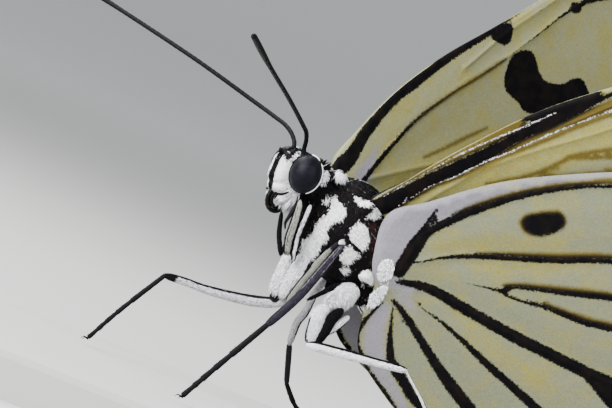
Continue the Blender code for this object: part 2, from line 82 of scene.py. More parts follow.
# Wings: a runs tailwards along the body, b outwards from the hinge
FORE_HINGE = {"left": (-15.9, 2.3, 16.55), "right": (-14.8, -2.3, 17.7)}
HIND_HINGE = {"left": (-17.69, 3.2, 14.05), "right": (-17.69, -3.2, 14.05)}
FORE_OPEN = 22.0
HIND_OPEN = 25.0
HIND_LIFT = {"left": 0.0, "right": 10.0}
FORE_SPAN = 58.0
WING_BEND = 2.0
ANAL_BEND = 0.42
BLADE = 0.17  # blade thickness
VEIN_RISE = 0.07
VEIN_REACH = 0.26
ROOT_RISE = 0.3
ROOT_REACH = 2.2
SAG = 0.1  # how far the membrane hangs between its veins
FILLER_PITCH = 0.62  # between the loose points of a blade's mesh

# Camera, from the photo: direction, roll and scale
VIEW_TURN = 65.0
VIEW_RISE = 1.75
VIEW_ROLL = 24.0
VIEW_DISTANCE = 300.0
MM_PER_PIXEL = 0.068
PICTURE = (612.0, 408.0)
EYE_PIXEL = (305.5, 174.0)
SENSOR = 36.0


def unit(v):
    """Vectors at length 1."""
    v = np.asarray(v, float)
    return v / np.maximum(np.linalg.norm(v, axis=-1, keepdims=True), 1e-12)


def body_axes():
    """Forward, left and up of the tilted thorax."""
    pitch = math.radians(BODY_PITCH)
    forward = np.array((math.cos(pitch), 0.0, math.sin(pitch)))
    up = np.array((-math.sin(pitch), 0.0, math.cos(pitch)))
    return forward, np.array((0.0, 1.0, 0.0)), up


FORWARD, LEFT, UP = body_axes()
LEVEL_AXES = (np.array((1.0, 0.0, 0.0)), LEFT, np.array((0.0, 0.0, 1.0)))
BODY_AXES = (FORWARD, LEFT, UP)


def curve_span(p0, p1, p2, p3, t):
    """The stretch from p1 to p2 of a smooth curve through the four."""
    return 0.5 * (2 * p1 + (p2 - p0) * t + (2 * p0 - 5 * p1 + 4 * p2 - p3) * t ** 2
                  + (3 * p1 - p0 - 3 * p2 + p3) * t ** 3)


def smooth_path(points, steps):
    """Points along a smooth curve through the given ones, with any number of columns."""
    points = np.asarray(points, float)
    ends = np.vstack([points[0] * 2 - points[1], points, points[-1] * 2 - points[-2]])
    t = (np.arange(steps) / steps)[:, None]
    spans = [curve_span(*ends[k - 1:k + 3], t) for k in range(1, len(ends) - 2)]
    return np.vstack(spans + [points[-1:]])


def smooth_loop(points, steps):
    """The same round a closed outline."""
    points = np.asarray(points, float)
    t = (np.arange(steps) / steps)[:, None]
    turned = [np.roll(points, -shift, 0) for shift in (-1, 0, 1, 2)]
    return np.vstack([curve_span(*span, t) for span in zip(*turned)])


def even_path(points, pitch):
    """The smooth curve through the points, stepped at an even pitch by its first columns."""
    path = smooth_path(points, 12)
    width = min(3, path.shape[1])
    steps = np.linalg.norm(np.diff(path[:, :width], axis=0), axis=1)
    length = np.concatenate([[0.0], np.cumsum(steps)])
    count = max(2, int(round(length[-1] / pitch)) + 1)
    where = np.linspace(0.0, length[-1], count)
    return np.stack([np.interp(where, length, path[:, k]) for k in range(path.shape[1])], 1)


def blend_step(low, high, value):
    """0 below low, 1 above high, and a soft step between them."""
    t = np.clip((value - low) / (high - low), 0.0, 1.0)
    return t * t * (3 - 2 * t)


class Shape:
    """Points, faces and per-point marks gathered for one mesh."""

    def __init__(self, *marks):
        self.names = marks
        self.points = []
        self.quads = []
        self.tris = []
        self.marks = {name: [] for name in marks}
        self.uvs = []
        self.count = 0

    def add(self, points, quads=(), tris=(), uv=None, **marks):
        """Add points with their faces. A mark that isn't given is 0."""
        points = np.asarray(points, float).reshape(-1, 3)
        if len(quads):
            self.quads.append(np.asarray(quads, np.int64).reshape(-1, 4) + self.count)
        if len(tris):
            self.tris.append(np.asarray(tris, np.int64).reshape(-1, 3) + self.count)
        for name in self.names:
            value = marks.get(name, 0.0)
            self.marks[name].append(np.broadcast_to(np.asarray(value, float), (len(points),)))
        if uv is not None:
            self.uvs.append(np.broadcast_to(np.asarray(uv, float), (len(points), 2)))
        self.points.append(points)
        self.count += len(points)
        return self

    def add_tube(self, path, radii, sides, reference=(0.0, 0.0, 1.0), flat=1.0, **marks):
        points, quads, tris, _, _ = tube(path, radii, sides, reference, flat)
        return self.add(points, quads, tris, **marks)

    def add_scales(self, roots, normals, flow, lengths, widths, lifts, places, **marks):
        """Flat scales, with one value of each mark and one place on the unwrap for each."""
        points, tris = flat_scales(roots, normals, flow, lengths, widths, lifts)
        self.add(points, (), tris, patches(places, SCALE_PATCH), **per_point(marks, len(roots), 4))

    def object(self, name, material, nodes=(), smooth=True):
        """Make the piece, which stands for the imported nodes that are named."""
        quads = np.vstack(self.quads) if self.quads else np.zeros((0, 4), np.int64)
        tris = np.vstack(self.tris) if self.tris else np.zeros((0, 3), np.int64)
        points = (np.vstack(self.points) + SHIFT) * MM
        mesh = bpy.data.meshes.new(name)
        mesh.vertices.add(len(points))
        mesh.vertices.foreach_set("co", points.astype(np.float32).ravel())
        corners = np.concatenate([quads.ravel(), tris.ravel()]).astype(np.int32)
        mesh.loops.add(len(corners))
        mesh.loops.foreach_set("vertex_index", corners)
        mesh.polygons.add(len(quads) + len(tris))
        starts = np.concatenate([np.arange(len(quads)) * 4,
                                 len(quads) * 4 + np.arange(len(tris)) * 3]).astype(np.int32)
        mesh.polygons.foreach_set("loop_start", starts)
        mesh.update(calc_edges=True)
        for mark in self.names:
            layer = mesh.attributes.new(mark, "FLOAT", "POINT")
            layer.data.foreach_set("value", np.concatenate(self.marks[mark]).astype(np.float32))
        if self.uvs:
            uv = np.vstack(self.uvs)[corners]
            mesh.uv_layers.new(name="OFBake").data.foreach_set("uv", uv.astype(np.float32).ravel())
        if smooth:
            mesh.shade_smooth()
        return place(name, mesh, material, nodes)


def per_point(marks, count, size):
    """The value of each mark for count hairs, repeated for the points of each hair."""
    return {name: np.repeat(np.broadcast_to(value, count), size) for name, value in marks.items()}


def patches(places, patch):
    """A small patch of the unwrap at each place."""
    return np.repeat(places, len(patch), 0) + np.tile(patch, (len(places), 1))


def place(name, mesh, material, nodes=()):
    """Link a finished mesh as a piece that rides on the part and stands for the named nodes."""
    mesh.materials.append(material)
    obj = bpy.data.objects.new(name, mesh)
    bpy.context.scene.collection.objects.link(obj)
    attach(obj, "root")
    if nodes:
        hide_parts(*nodes)
    return obj


END_DOME = 0.6  # height of a tube's end over its last ring, as a share of the radius


def ring_faces(count, sides):
    """Quads between successive rings of a tube, and the triangles that close its ends."""
    ring = np.arange(count - 1)[:, None] * sides
    step = np.arange(sides)[None, :]
    following = (step + 1) % sides
    a = ring + step
    b = ring + following
    quads = np.stack([a, b, b + sides, a + sides], -1).reshape(-1, 4)
    start = count * sides
    last = (count - 1) * sides
    step = np.arange(sides)
    following = (step + 1) % sides
    tris = np.vstack([np.stack([np.full(sides, start), following, step], 1),
                      np.stack([np.full(sides, start + 1), last + step, last + following], 1)])
    return quads, tris


def tube(path, radii, sides, reference=(0.0, 0.0, 1.0), flat=1.0):
    """Tube along a path. Returns points, quads, triangles, place along 0 to 1 and turn.

    The turn is 0 on the side that faces the reference direction and pi behind."""
    path = np.asarray(path, float)
    radii = np.broadcast_to(np.asarray(radii, float), (len(path),))
    along = unit(np.gradient(path, axis=0))
    facing = np.asarray(reference, float)
    top = unit(facing - along * (along @ facing)[:, None])
    other = np.cross(along, top)
    turn = 2 * math.pi * np.arange(sides) / sides
    ring = (top[:, None] * np.cos(turn)[None, :, None]
            + other[:, None] * (np.sin(turn) * flat)[None, :, None])
    points = (path[:, None] + ring * radii[:, None, None]).reshape(-1, 3)
    caps = np.array([path[0] - along[0] * radii[0] * END_DOME,
                     path[-1] + along[-1] * radii[-1] * END_DOME])
    quads, tris = ring_faces(len(path), sides)
    share = np.concatenate([np.repeat(np.linspace(0, 1, len(path)), sides), [0.0, 1.0]])
    turns = np.concatenate([np.tile(turn, len(path)), [0.0, 0.0]])
    return np.vstack([points, caps]), quads, tris, share, turns


def ellipsoid(centre, radii, axes=LEVEL_AXES, power=2.0, segments=48, rings=32):
    """Rounded body with poles on its first axis."""
    polar = math.pi * np.arange(1, rings) / rings
    turn = 2 * math.pi * np.arange(segments) / segments
    direction = np.stack(np.broadcast_arrays(
        np.cos(polar)[:, None] + 0 * turn[None, :],
        np.sin(polar)[:, None] * np.cos(turn)[None, :],
        np.sin(polar)[:, None] * np.sin(turn)[None, :]), -1).reshape(-1, 3)
    direction = np.vstack([direction, [[1.0, 0, 0], [-1.0, 0, 0]]])
    fullness = (np.abs(direction) ** power).sum(1) ** (-1.0 / power)
    spread = np.array(axes) * np.asarray(radii, float)[:, None]
    points = np.asarray(centre, float) + (direction * fullness[:, None]) @ spread
    return (points, *ring_faces(rings - 1, segments))


# Materials


class Look:
    """A procedural material under construction."""

    def __init__(self, name, roughness=0.6, shine=0.12):
        self.material = bpy.data.materials.new(name)
        self.material.use_nodes = True
        self.nodes = self.material.node_tree.nodes
        self.links = self.material.node_tree.links
        self.shader = self.nodes["Principled BSDF"]
        self.shader.inputs["Roughness"].default_value = roughness
        self.shader.inputs["Specular IOR Level"].default_value = shine
        self.coords = self.nodes.new("ShaderNodeTexCoord").outputs["Object"]

    def put(self, socket, value):
        """Give a socket another socket's output, a colour or a number."""
        if isinstance(value, bpy.types.NodeSocket):
            self.links.new(value, socket)
        elif isinstance(value, tuple) and len(value) == 3 and socket.type == "RGBA":
            socket.default_value = (*value, 1.0)
        else:
            socket.default_value = value

    def set(self, name, value):
        self.put(self.shader.inputs[name], value)

    def mark(self, name):
        """A per-point mark of the mesh."""
        node = self.nodes.new("ShaderNodeAttribute")
        node.attribute_name = name
        return node.outputs["Fac"]

    def stretched(self, scale):
        """Coordinates scaled by axis."""
        node = self.nodes.new("ShaderNodeMapping")
        node.inputs["Scale"].default_value = scale
        self.links.new(self.coords, node.inputs["Vector"])
        return node.outputs["Vector"]

    def noise(self, size, detail=2.0, vector=None):
        """Noise whose features are about size millimetres across, centred on 0.5."""
        node = self.nodes.new("ShaderNodeTexNoise")
        self.links.new(vector or self.coords, node.inputs["Vector"])
        node.inputs["Scale"].default_value = 1.0 / (size * MM)
        node.inputs["Detail"].default_value = detail
        return node.outputs["Fac"]

    def cells(self, size, output="Color"):
        """Cells of that many millimetres: a random value in each, or the distance to its middle."""
        node = self.nodes.new("ShaderNodeTexVoronoi")
        self.links.new(self.coords, node.inputs["Vector"])
        node.inputs["Scale"].default_value = 1.0 / (size * MM)
        return node.outputs[output]

    def sum(self, operation, a, b=0.0, c=0.0):
        """Arithmetic of up to three values."""
        node = self.nodes.new("ShaderNodeMath")
        node.operation = operation
        for socket, value in enumerate((a, b, c)):
            self.put(node.inputs[socket], value)
        return node.outputs[0]

    def step(self, value, low, high, out_low=0.0, out_high=1.0):
        """Soft step of a value between low and high."""
        node = self.nodes.new("ShaderNodeMapRange")
        node.interpolation_type = "SMOOTHSTEP"
        for socket, given in (("Value", value), ("From Min", low), ("From Max", high),
                              ("To Min", out_low), ("To Max", out_high)):
            self.put(node.inputs[socket], given)
        return node.outputs["Result"]

    def mix(self, share, a, b, way="MIX"):
        """Colour a, with a share of colour b."""
        node = self.nodes.new("ShaderNodeMix")
        node.data_type = "RGBA"
        node.blend_type = way
        for socket, value in ((0, share), (6, a), (7, b)):  # the colour sockets are 6 and 7
            self.put(node.inputs[socket], value)
        return node.outputs[2]

    def bump(self, height, depth, strength=1.0):
        """Relief of the given depth in millimetres."""
        node = self.nodes.new("ShaderNodeBump")
        node.inputs["Strength"].default_value = strength
        node.inputs["Distance"].default_value = depth * MM
        self.links.new(height, node.inputs["Height"])
        self.links.new(node.outputs["Normal"], self.shader.inputs["Normal"])


SCALE = 0.085  # width of one wing scale
# Colours, as the shader takes them
DEEP_BLACK = (0.0008, 0.0007, 0.0011)
CHITIN_BLACK = (0.0008, 0.0008, 0.0012)
POLLEN = (0.62, 0.50, 0.27)
SNOW = (0.48, 0.48, 0.52)
BLACK = (0.0012, 0.0011, 0.0017)
BROWN_BLACK = (0.0042, 0.0026, 0.0022)
WHITE = (0.86, 0.87, 0.90)
CREAM = (0.17, 0.172, 0.095)
GREY_GREEN = (0.135, 0.143, 0.092)
YELLOW = (0.19, 0.165, 0.036)
LILAC = (0.165, 0.157, 0.178)
GOLD = (0.072, 0.053, 0.010)
OLIVE_BLACK = (0.011, 0.008, 0.0035)


def wing_look(name, ground, mottle, mottle_share):
    """Scaled membrane: pale ground with yellow mottling under black, gold and white marks."""
    look = Look(name, 0.65, 0.05)
    grain = look.cells(SCALE)
    ragged = look.sum("MULTIPLY_ADD", grain, 0.17, -0.085)
    drift = look.sum("MULTIPLY_ADD", look.noise(0.35), 0.16, -0.08)
    wander = look.sum("ADD", ragged, drift)
    speck = look.sum("MULTIPLY_ADD", grain, 0.26, 0.87)
    patch = look.sum("MULTIPLY", look.step(look.noise(1.9, 3.0), 0.44, 0.66), mottle_share)
    colour = look.mix(patch, ground, mottle)
    fleck = look.sum("MULTIPLY", look.step(look.noise(0.45, 3.0), 0.55, 0.68), mottle_share)
    colour = look.mix(fleck, colour, mottle)
    sunny = look.mark("sunny")
    colour = look.mix(look.sum("MULTIPLY", sunny, 0.5), colour, YELLOW)
    flecks = look.sum("MULTIPLY", sunny, look.step(look.noise(0.3, 3.0), 0.5, 0.62, 0.0, 0.9))
    colour = look.mix(flecks, colour, YELLOW)
    pale = look.sum("ADD", look.mark("pale"), look.sum("MULTIPLY", wander, 1.6))
    colour = look.mix(look.step(pale, 0.1, 0.9), colour, LILAC)
    ink_mark = look.mark("ink")
    gold_tone = look.mix(look.step(ink_mark, -0.32, -0.04), GOLD, OLIVE_BLACK)
    gold = look.sum("ADD", look.mark("gold"), wander)
    colour = look.mix(look.step(gold, -0.27, 0.07), colour, gold_tone)
    shade = look.nodes.new("ShaderNodeCombineColor")
    for k in range(3):
        look.links.new(speck, shade.inputs[k])
    colour = look.mix(1.0, colour, shade.outputs[0], "MULTIPLY")
    dark = look.mix(look.step(look.noise(0.8), 0.4, 0.7), BLACK, BROWN_BLACK)
    ink = look.sum("ADD", ink_mark, wander)
    colour = look.mix(look.step(ink, -0.05, 0.05), colour, dark)
    snow = look.sum("ADD", look.mark("snow"), look.sum("MULTIPLY_ADD", grain, 0.2, -0.13))
    colour = look.mix(look.step(snow, -0.03, 0.03), colour, SNOW)
    look.set("Base Color", colour)
    crease = look.sum("MULTIPLY", look.noise(0.9, 3.0), 2.0)
    relief = look.sum("ADD", look.cells(SCALE, "Distance"), crease)
    look.bump(relief, 0.03, 0.5)
    return look.material


def coat_look(name, white=WHITE, dim=0.8):
    """Scale hairs: each takes its colour from its own root."""
    look = Look(name, 0.7, 0.05)
    shade = look.mark("shade")
    light = look.mix(shade, tuple(dim * c for c in white), white)
    light = look.mix(look.mark("warm"), light, POLLEN)
    dark = look.mix(shade, DEEP_BLACK, (0.0052, 0.0045, 0.0055))
    dark = look.mix(look.mark("red"), dark, (0.016, 0.0045, 0.0045))
    look.set("Base Color", look.mix(look.mark("white"), dark, light))
    look.bump(look.noise(0.05), 0.01, 0.5)
    return look.material


def skin_look(name):
    """The hide under the scale hairs, with the same markings as they have."""
    look = Look(name, 0.65, 0.05)
    wander = look.sum("MULTIPLY_ADD", look.noise(0.14), 1.2, -0.6)
    white = look.step(look.sum("ADD", look.mark("white"), wander), 0.42, 0.58)
    light = look.mix(look.noise(0.3), (0.5, 0.5, 0.5), (0.78, 0.78, 0.78))
    dark = look.mix(look.noise(0.25), (0.0008, 0.0007, 0.001), (0.006, 0.0045, 0.0045))
    dark = look.mix(look.mark("red"), dark, (0.012, 0.004, 0.004))
    look.set("Base Color", look.mix(white, dark, light))
    look.bump(look.noise(0.12, 3.0), 0.05, 0.7)
    return look.material


def limb_look(name):
    """Leg: pale scales with dark lines, olive, mauve and mottled lengths that follow the marks."""
    look = Look(name, 0.65, 0.06)
    shade = look.mark("shade")
    light = look.mix(shade, (0.5, 0.5, 0.54), (0.93, 0.93, 0.95))
    grey = look.mix(shade, (0.07, 0.066, 0.08), (0.24, 0.23, 0.26))
    # Painted shade: the far hind leg's grey and olive tones, and one dark line on the near hind
    # femur.
    light = look.mix(look.mark("mottle"), light, grey)
    olive = look.mix(shade, (0.10, 0.102, 0.087), (0.25, 0.255, 0.225))
    light = look.mix(look.mark("olive"), light, olive)
    dark = look.mix(shade, CHITIN_BLACK, (0.0055, 0.0045, 0.0065))
    mauve = look.mix(shade, (0.005, 0.0042, 0.007), (0.026, 0.022, 0.033))
    dark = look.mix(look.mark("dusk"), dark, mauve)
    wander = look.sum("MULTIPLY_ADD", look.noise(0.12), 0.3, -0.15)
    share = look.step(look.sum("ADD", look.mark("dark"), wander), 0.35, 0.65)
    look.set("Base Color", look.mix(share, light, dark))
    look.bump(look.noise(0.1, 3.0), 0.02, 0.5)
    return look.material


def horn_look(name):
    """Black chitin with faint scales."""
    look = Look(name, 0.55, 0.06)
    look.set("Base Color", look.mix(look.noise(0.15), CHITIN_BLACK, (0.004, 0.004, 0.0055)))
    look.bump(look.cells(0.07, "Distance"), 0.02, 0.5)
    return look.material


def eye_look():
    """Dark facetted eye; faint level bands of painted sheen lighten its colour and change its
    roughness.
    """
    look = Look("eye", 0.5, 0.09)
    sheen_bands = look.noise(0.16, 3.0, look.stretched((0.25, 0.25, 1.6)))
    painted_sheen = look.step(sheen_bands, 0.35, 0.7)
    # The lighter blue of the bands is painted sheen.
    look.set("Base Color", look.mix(painted_sheen, (0.0006, 0.0006, 0.0017), (0.0026, 0.0027, 0.007)))
    look.set("Roughness", look.step(sheen_bands, 0.3, 0.7, 0.44, 0.6))
    look.bump(look.cells(0.035, "Distance"), 0.006, 0.6)
    return look.material


def tongue_look():
    """Glossy brown-black with a few amber glints."""
    look = Look("tongue", 0.36, 0.09)
    glint = look.step(look.noise(0.13, 3.0), 0.66, 0.74)
    look.set("Base Color", look.mix(glint, (0.001, 0.0009, 0.001), (0.16, 0.10, 0.02)))
    look.bump(look.noise(0.08), 0.02, 0.6)
    return look.material


def base_look():
    """Pale acrylic of the stand."""
    look = Look("stand_acrylic", 0.45)
    look.set("Base Color", look.mix(look.noise(6.0, 3.0), (0.4, 0.4, 0.39), (0.43, 0.43, 0.42)))
    look.bump(look.noise(3.0, 3.0), 0.02, 0.3)
    return look.material


def paper_look():
    """Grey paper under the model that grows paler away from it, where less light falls."""
    look = Look("paper", 0.9)
    near = look.mix(look.noise(30.0, 3.0), (0.42, 0.42, 0.41), (0.44, 0.44, 0.43))
    reach = look.nodes.new("ShaderNodeVectorMath")
    reach.operation = "LENGTH"
    look.links.new(look.coords, reach.inputs[0])
    away = look.step(reach.outputs["Value"], *PALER_FROM_TO)
    look.set("Base Color", look.mix(away, near, (0.86, 0.86, 0.85)))
    look.bump(look.noise(15.0, 3.0), 0.05, 0.3)
    return look.material


# Wing patterns: signed distances in millimetres, above zero inside the mark


def along_line(points, path):
    """Highest of half-width less distance, over the lengths of a path of (a, b, half-width)."""
    best = np.full(len(points), -9.0)
    for start, end in zip(path[:-1], path[1:]):
        run = end[:2] - start[:2]
        t = np.clip(((points - start[:2]) @ run) / max(run @ run, 1e-9), 0, 1)
        foot = start[:2] + t[:, None] * run
        half = start[2] + t * (end[2] - start[2])
        best = np.maximum(best, half - np.linalg.norm(points - foot, axis=1))
    return best


def inside_loop(points, loop):
    """Signed distance to a closed outline, above zero inside."""
    best = np.full(len(points), 9.0)
    odd = np.zeros(len(points), bool)
    for start, end in zip(loop, np.roll(loop, -1, 0)):
        run = end - start
        t = np.clip(((points - start) @ run) / max(run @ run, 1e-9), 0, 1)
        best = np.minimum(best, np.linalg.norm(points - start - t[:, None] * run, axis=1))
        crosses = (start[1] > points[:, 1]) != (end[1] > points[:, 1])
        with np.errstate(divide="ignore", invalid="ignore"):
            at = start[0] + (points[:, 1] - start[1]) * run[0] / run[1]
        odd ^= crosses & (points[:, 0] < at)
    return np.where(odd, best, -best)


class Stripe:
    """A line of (a, b, half-width) points; a vein also stands out of the blade."""

    def __init__(self, points, vein=False):
        self.path = even_path(points, 0.45)
        self.vein = vein

    def value(self, points):
        return along_line(points, self.path)

    def guides(self):
        lines = [self.path[:, :2]]
        if self.vein:
            along = unit(np.gradient(self.path[:, :2], axis=0))
            across = np.stack([-along[:, 1], along[:, 0]], 1)
            for offset in (-VEIN_REACH, -0.45 * VEIN_REACH, 0.45 * VEIN_REACH, VEIN_REACH):
                lines.append(self.path[:, :2] + across * offset)
        return lines


class Spot:
    """An ellipse."""

    def __init__(self, centre, half_length, half_width, heading=0.0):
        self.centre = np.array(centre, float)
        self.size = (half_length, half_width)
        turn = math.radians(heading)
        self.axes = np.array([(math.cos(turn), math.sin(turn)), (-math.sin(turn), math.cos(turn))])

    def value(self, points):
        local = (points - self.centre) @ self.axes.T / np.array(self.size)
        return (1.0 - np.linalg.norm(local, axis=1)) * min(self.size)

    def guides(self):
        turn = 2 * math.pi * np.arange(17) / 16
        lines = []
        for share in (0.5, 1.0, 1.35):
            ring = np.stack([np.cos(turn), np.sin(turn)], 1) * np.array(self.size) * share
            lines.append(self.centre + ring @ self.axes)
        return lines


class Blotch:
    """A closed outline."""

    def __init__(self, points):
        self.loop = smooth_loop(points, 4)

    def value(self, points):
        return inside_loop(points, self.loop)

    def guides(self):
        return [np.vstack([self.loop, self.loop[:1]])]


def most(marks, points):
    """The highest value of any of the marks."""
    best = np.full(len(points), -2.0)
    for mark in marks:
        best = np.maximum(best, mark.value(points))
    return best


# Forewing plan, tip at high b
FORE_LEAD = {
    "left": [(-1.2, -0.6), (-1.75, 2.8), (-2.3, 7.5), (-2.6, 12.8), (-2.1, 18.5), (-1.1, 25.0)],
    "right": [(-1.7, -0.4), (-2.5, 2.8), (-2.9, 7.5), (-2.55, 12.8), (-1.65, 18.5), (-0.7, 25.0)],
}
FORE_OUTLINE = [(0.4, 34.0), (2.9, 44.0), (6.4, 52.0), (11.0, 56.6), (15.4, 55.0), (18.3, 48.0),
                (21.3, 39.0), (25.2, 30.5), (27.0, 26.2), (24.6, 22.6), (17.0, 14.6), (9.0, 6.6),
                (4.2, 1.8), (1.6, -0.8)]
FORE_VEINS = [
    [(0.7, 1.6, -0.2), (3.4, 8.0, -0.2), (7.0, 16.0, 0.12), (11.6, 24.4, 0.3), (13.4, 28.0, 0.32)],
    [(3.8, 32.5, 0.3), (8.0, 31.4, 0.34), (13.4, 28.0, 0.3)],
    [(-0.9, 14.0, -0.2), (-0.7, 20.0, -0.1), (0.9, 32.0, 0.2), (3.2, 43.0, 0.3)],
    [(1.4, 26.5, 0.2), (2.2, 34.0, 0.24), (4.6, 43.0, 0.3), (7.2, 50.0, 0.42)],
    [(3.8, 32.5, 0.26), (6.8, 43.0, 0.3), (11.4, 55.0, 0.5)],
    [(6.5, 32.0, 0.26), (11.0, 42.5, 0.3), (15.2, 52.8, 0.5)],
    [(10.0, 30.6, 0.26), (14.6, 39.4, 0.3), (18.2, 46.6, 0.5)],
    [(13.4, 28.0, 0.26), (17.6, 34.2, 0.3), (20.9, 38.6, 0.5)],
    [(11.6, 24.4, 0.26), (17.6, 29.6, 0.3), (23.3, 33.2, 0.5)],
    [(7.0, 16.0, 0.2), (13.4, 22.0, 0.28), (19.6, 26.4, 0.34), (25.6, 28.6, 0.5)],
    [(1.4, 1.0, 0.12), (6.4, 5.8, 0.18), (14.4, 14.0, 0.26), (25.0, 24.6, 0.5)],
]
FORE_RADIUS_VEIN = [(0.6, 0.5, 0.2), (0.16, 3.5, 0.19), (-0.2, 6.5, 0.12), (-0.3, 8.4, 0.02),
                    (-0.02, 12.0, -0.1), (0.45, 15.5, -0.1), (0.9, 21.0, 0.02), (1.4, 26.5, 0.14),
                    (3.8, 32.5, 0.28)]
FORE_CELL_BLOTCH = [(1.18, 17.64), (0.86, 18.82), (1.42, 20.12), (2.26, 20.4), (3.3, 20.2),
                    (4.2, 20.4), (5.2, 21.6), (5.5, 22.8), (5.97, 23.65), (6.98, 23.8),
                    (7.75, 23.6), (7.4, 22.0), (6.8, 20.3), (5.24, 17.6), (3.84, 17.05),
                    (2.41, 16.52)]
FORE_BUMP = [(-1.9, 17.4), (-1.7, 18.4), (-1.1, 19.6), (-0.2, 19.0), (-0.1, 18.3), (-0.7, 17.6),
             (-1.3, 17.3)]
FORE_ENDS = [(3.2, 46.0), (7.2, 50.0), (11.4, 55.0), (15.2, 52.8), (18.2, 46.6), (20.9, 38.6),
             (23.3, 33.2), (25.6, 28.6), (25.0, 24.6)]
FORE_CENTRE = (6.0, 24.0)

# Hindwing plan, with the wide shoulder in front
HIND_OUTLINE = [(-1.0, -1.0), (-3.4, 1.2), (-3.1, 4.2), (-2.6, 8.6), (-1.5, 12.6), (0.5, 18.0),
                (3.8, 25.0), (8.4, 31.4), (14.4, 35.6), (21.4, 35.6), (28.0, 31.4), (32.4, 24.8),
                (33.4, 17.6), (31.2, 11.0), (26.3, 5.0), (20.9, 0.5), (15.4, -2.8), (9.5, -4.0),
                (4.8, -4.5), (2.6, -3.4), (1.0, -1.8)]
HIND_VEINS = [
    [(0.7, 0.2, 0.5), (0.0, 1.2, 0.55), (-0.55, 2.0, 0.55), (-1.05, 2.8, 0.44), (-1.12, 3.5, 0.3),
     (-1.25, 4.7, 0.32), (-1.29, 6.3, 0.3), (-1.22, 7.7, 0.26), (-1.09, 9.5, 0.21),
     (-0.73, 11.5, 0.18), (-0.08, 13.95, 0.14), (0.76, 16.0, 0.13), (4.0, 23.4, 0.2),
     (9.4, 31.0, 0.45)],
    [(0.65, 1.8, 0.05), (1.03, 3.3, 0.11), (1.48, 4.54, 0.18), (2.1, 5.93, 0.2), (3.03, 7.73, 0.2),
     (4.39, 10.45, 0.21), (5.9, 13.85, 0.21), (9.6, 20.4, 0.22)],
    [(9.6, 20.4, 0.2), (12.4, 27.4, 0.28), (15.4, 34.6, 0.5)],
    [(9.6, 20.4, 0.2), (14.6, 19.8, 0.24), (19.4, 15.2, 0.24)],
    [(14.6, 19.8, 0.2), (19.8, 27.0, 0.28), (23.6, 33.8, 0.5)],
    [(18.0, 17.2, 0.2), (24.4, 23.6, 0.28), (29.6, 28.8, 0.5)],
    [(1.4, -0.15, 0.12), (1.65, 0.25, 0.24), (2.33, 1.13, 0.32), (3.3, 1.95, 0.39),
     (4.75, 2.92, 0.42), (6.95, 4.41, 0.43), (8.88, 5.8, 0.45), (10.73, 7.25, 0.46),
     (12.58, 8.69, 0.47), (14.1, 9.92, 0.5), (19.4, 15.2, 0.38), (27.0, 20.2, 0.36),
     (32.6, 22.8, 0.5)],
    [(14.5, 10.3, 0.4), (23.4, 14.0, 0.36), (32.6, 15.0, 0.5)],
    [(13.0, 9.0, 0.4), (16.0, 9.7, 0.38), (20.0, 10.4, 0.34), (29.6, 9.4, 0.5)],
    [(2.5, -0.95, 0.14), (4.0, -0.7, 0.24), (6.15, -0.47, 0.28), (8.45, -0.23, 0.37),
     (10.4, 0.1, 0.44), (12.05, 0.45, 0.46), (18.4, 2.1, 0.42), (24.6, 3.8, 0.5)],
    [(2.17, -1.64, 0.06), (2.32, -2.11, 0.12), (2.51, -2.73, 0.15), (2.95, -3.65, 0.2),
     (3.34, -4.1, 0.2)],
    [(2.9, -1.2, 0.03), (3.35, -1.47, 0.08), (4.7, -2.2, 0.19), (5.5, -2.55, 0.27),
     (6.25, -2.8, 0.3), (7.3, -2.75, 0.38), (8.28, -2.68, 0.34), (9.5, -2.6, 0.34),
     (10.5, -2.4, 0.3), (15.0, -2.0, 0.26)],
]
HIND_STREAKS = [
    [(4.15, 0.62, 0.02), (5.55, 1.4, 0.13), (7.63, 2.24, 0.2), (9.65, 2.98, 0.29),
     (11.85, 3.88, 0.31), (13.86, 4.65, 0.36), (16.0, 5.5, 0.38), (20.0, 6.6, 0.3),
     (23.0, 7.1, 0.06)],
    [(2.3, 2.86, -0.1), (3.28, 3.88, -0.04), (4.16, 5.05, 0.04), (4.68, 5.7, 0.1),
     (5.13, 6.18, 0.16)],
    [(4.81, 6.42, 0.09), (5.22, 7.35, 0.11), (6.03, 8.66, 0.14), (7.09, 10.42, 0.18),
     (8.48, 12.78, 0.2), (10.6, 15.8, 0.2)],
    [(5.4, 6.2, 0.08), (6.5, 7.36, 0.12), (7.16, 8.19, 0.14), (8.38, 9.33, 0.18),
     (9.56, 10.49, 0.2), (10.65, 11.89, 0.21), (13.4, 14.6, 0.14)],
    [(-1.2, 2.7, 0.22), (-1.45, 2.95, 0.16), (-1.7, 3.27, 0.12), (-2.11, 3.83, 0.1),
     (-2.41, 4.4, 0.08)],
    [(2.8, -3.5, 0.17), (3.34, -4.15, 0.22), (4.03, -4.4, 0.2), (4.68, -4.4, 0.18),
     (6.0, -4.4, 0.14), (9.5, -3.85, 0.12)],
]
HIND_OVAL = [(0.8, 9.43), (0.57, 9.86), (0.7, 10.46), (0.92, 11.24), (1.23, 11.87), (1.78, 11.97),
             (2.18, 11.64), (2.27, 10.89), (2.1, 10.09), (1.53, 9.46)]
ROOT_SNOW = [(0.3, -1.2), (-0.1, -1.02), (-0.41, -0.85), (-0.63, -0.48), (-0.54, -0.12),
             (-0.27, 0.16), (0.23, 0.01), (0.7, -0.33), (0.74, -0.75), (0.57, -1.1)]
ROOT_LOBE = [(1.53, -2.43), (1.25, -2.17), (1.03, -1.48), (1.05, -1.08), (1.38, -0.9),
             (1.63, -1.21), (1.85, -1.57), (2.14, -1.87), (2.14, -2.34), (1.89, -2.6)]
HIND_ENDS = [(9.4, 31.0), (15.4, 34.6), (23.6, 33.8), (29.6, 28.8), (32.6, 22.8), (32.6, 15.0),
             (29.6, 9.4), (24.6, 3.6)]
HIND_CENTRE = (12.0, 13.0)


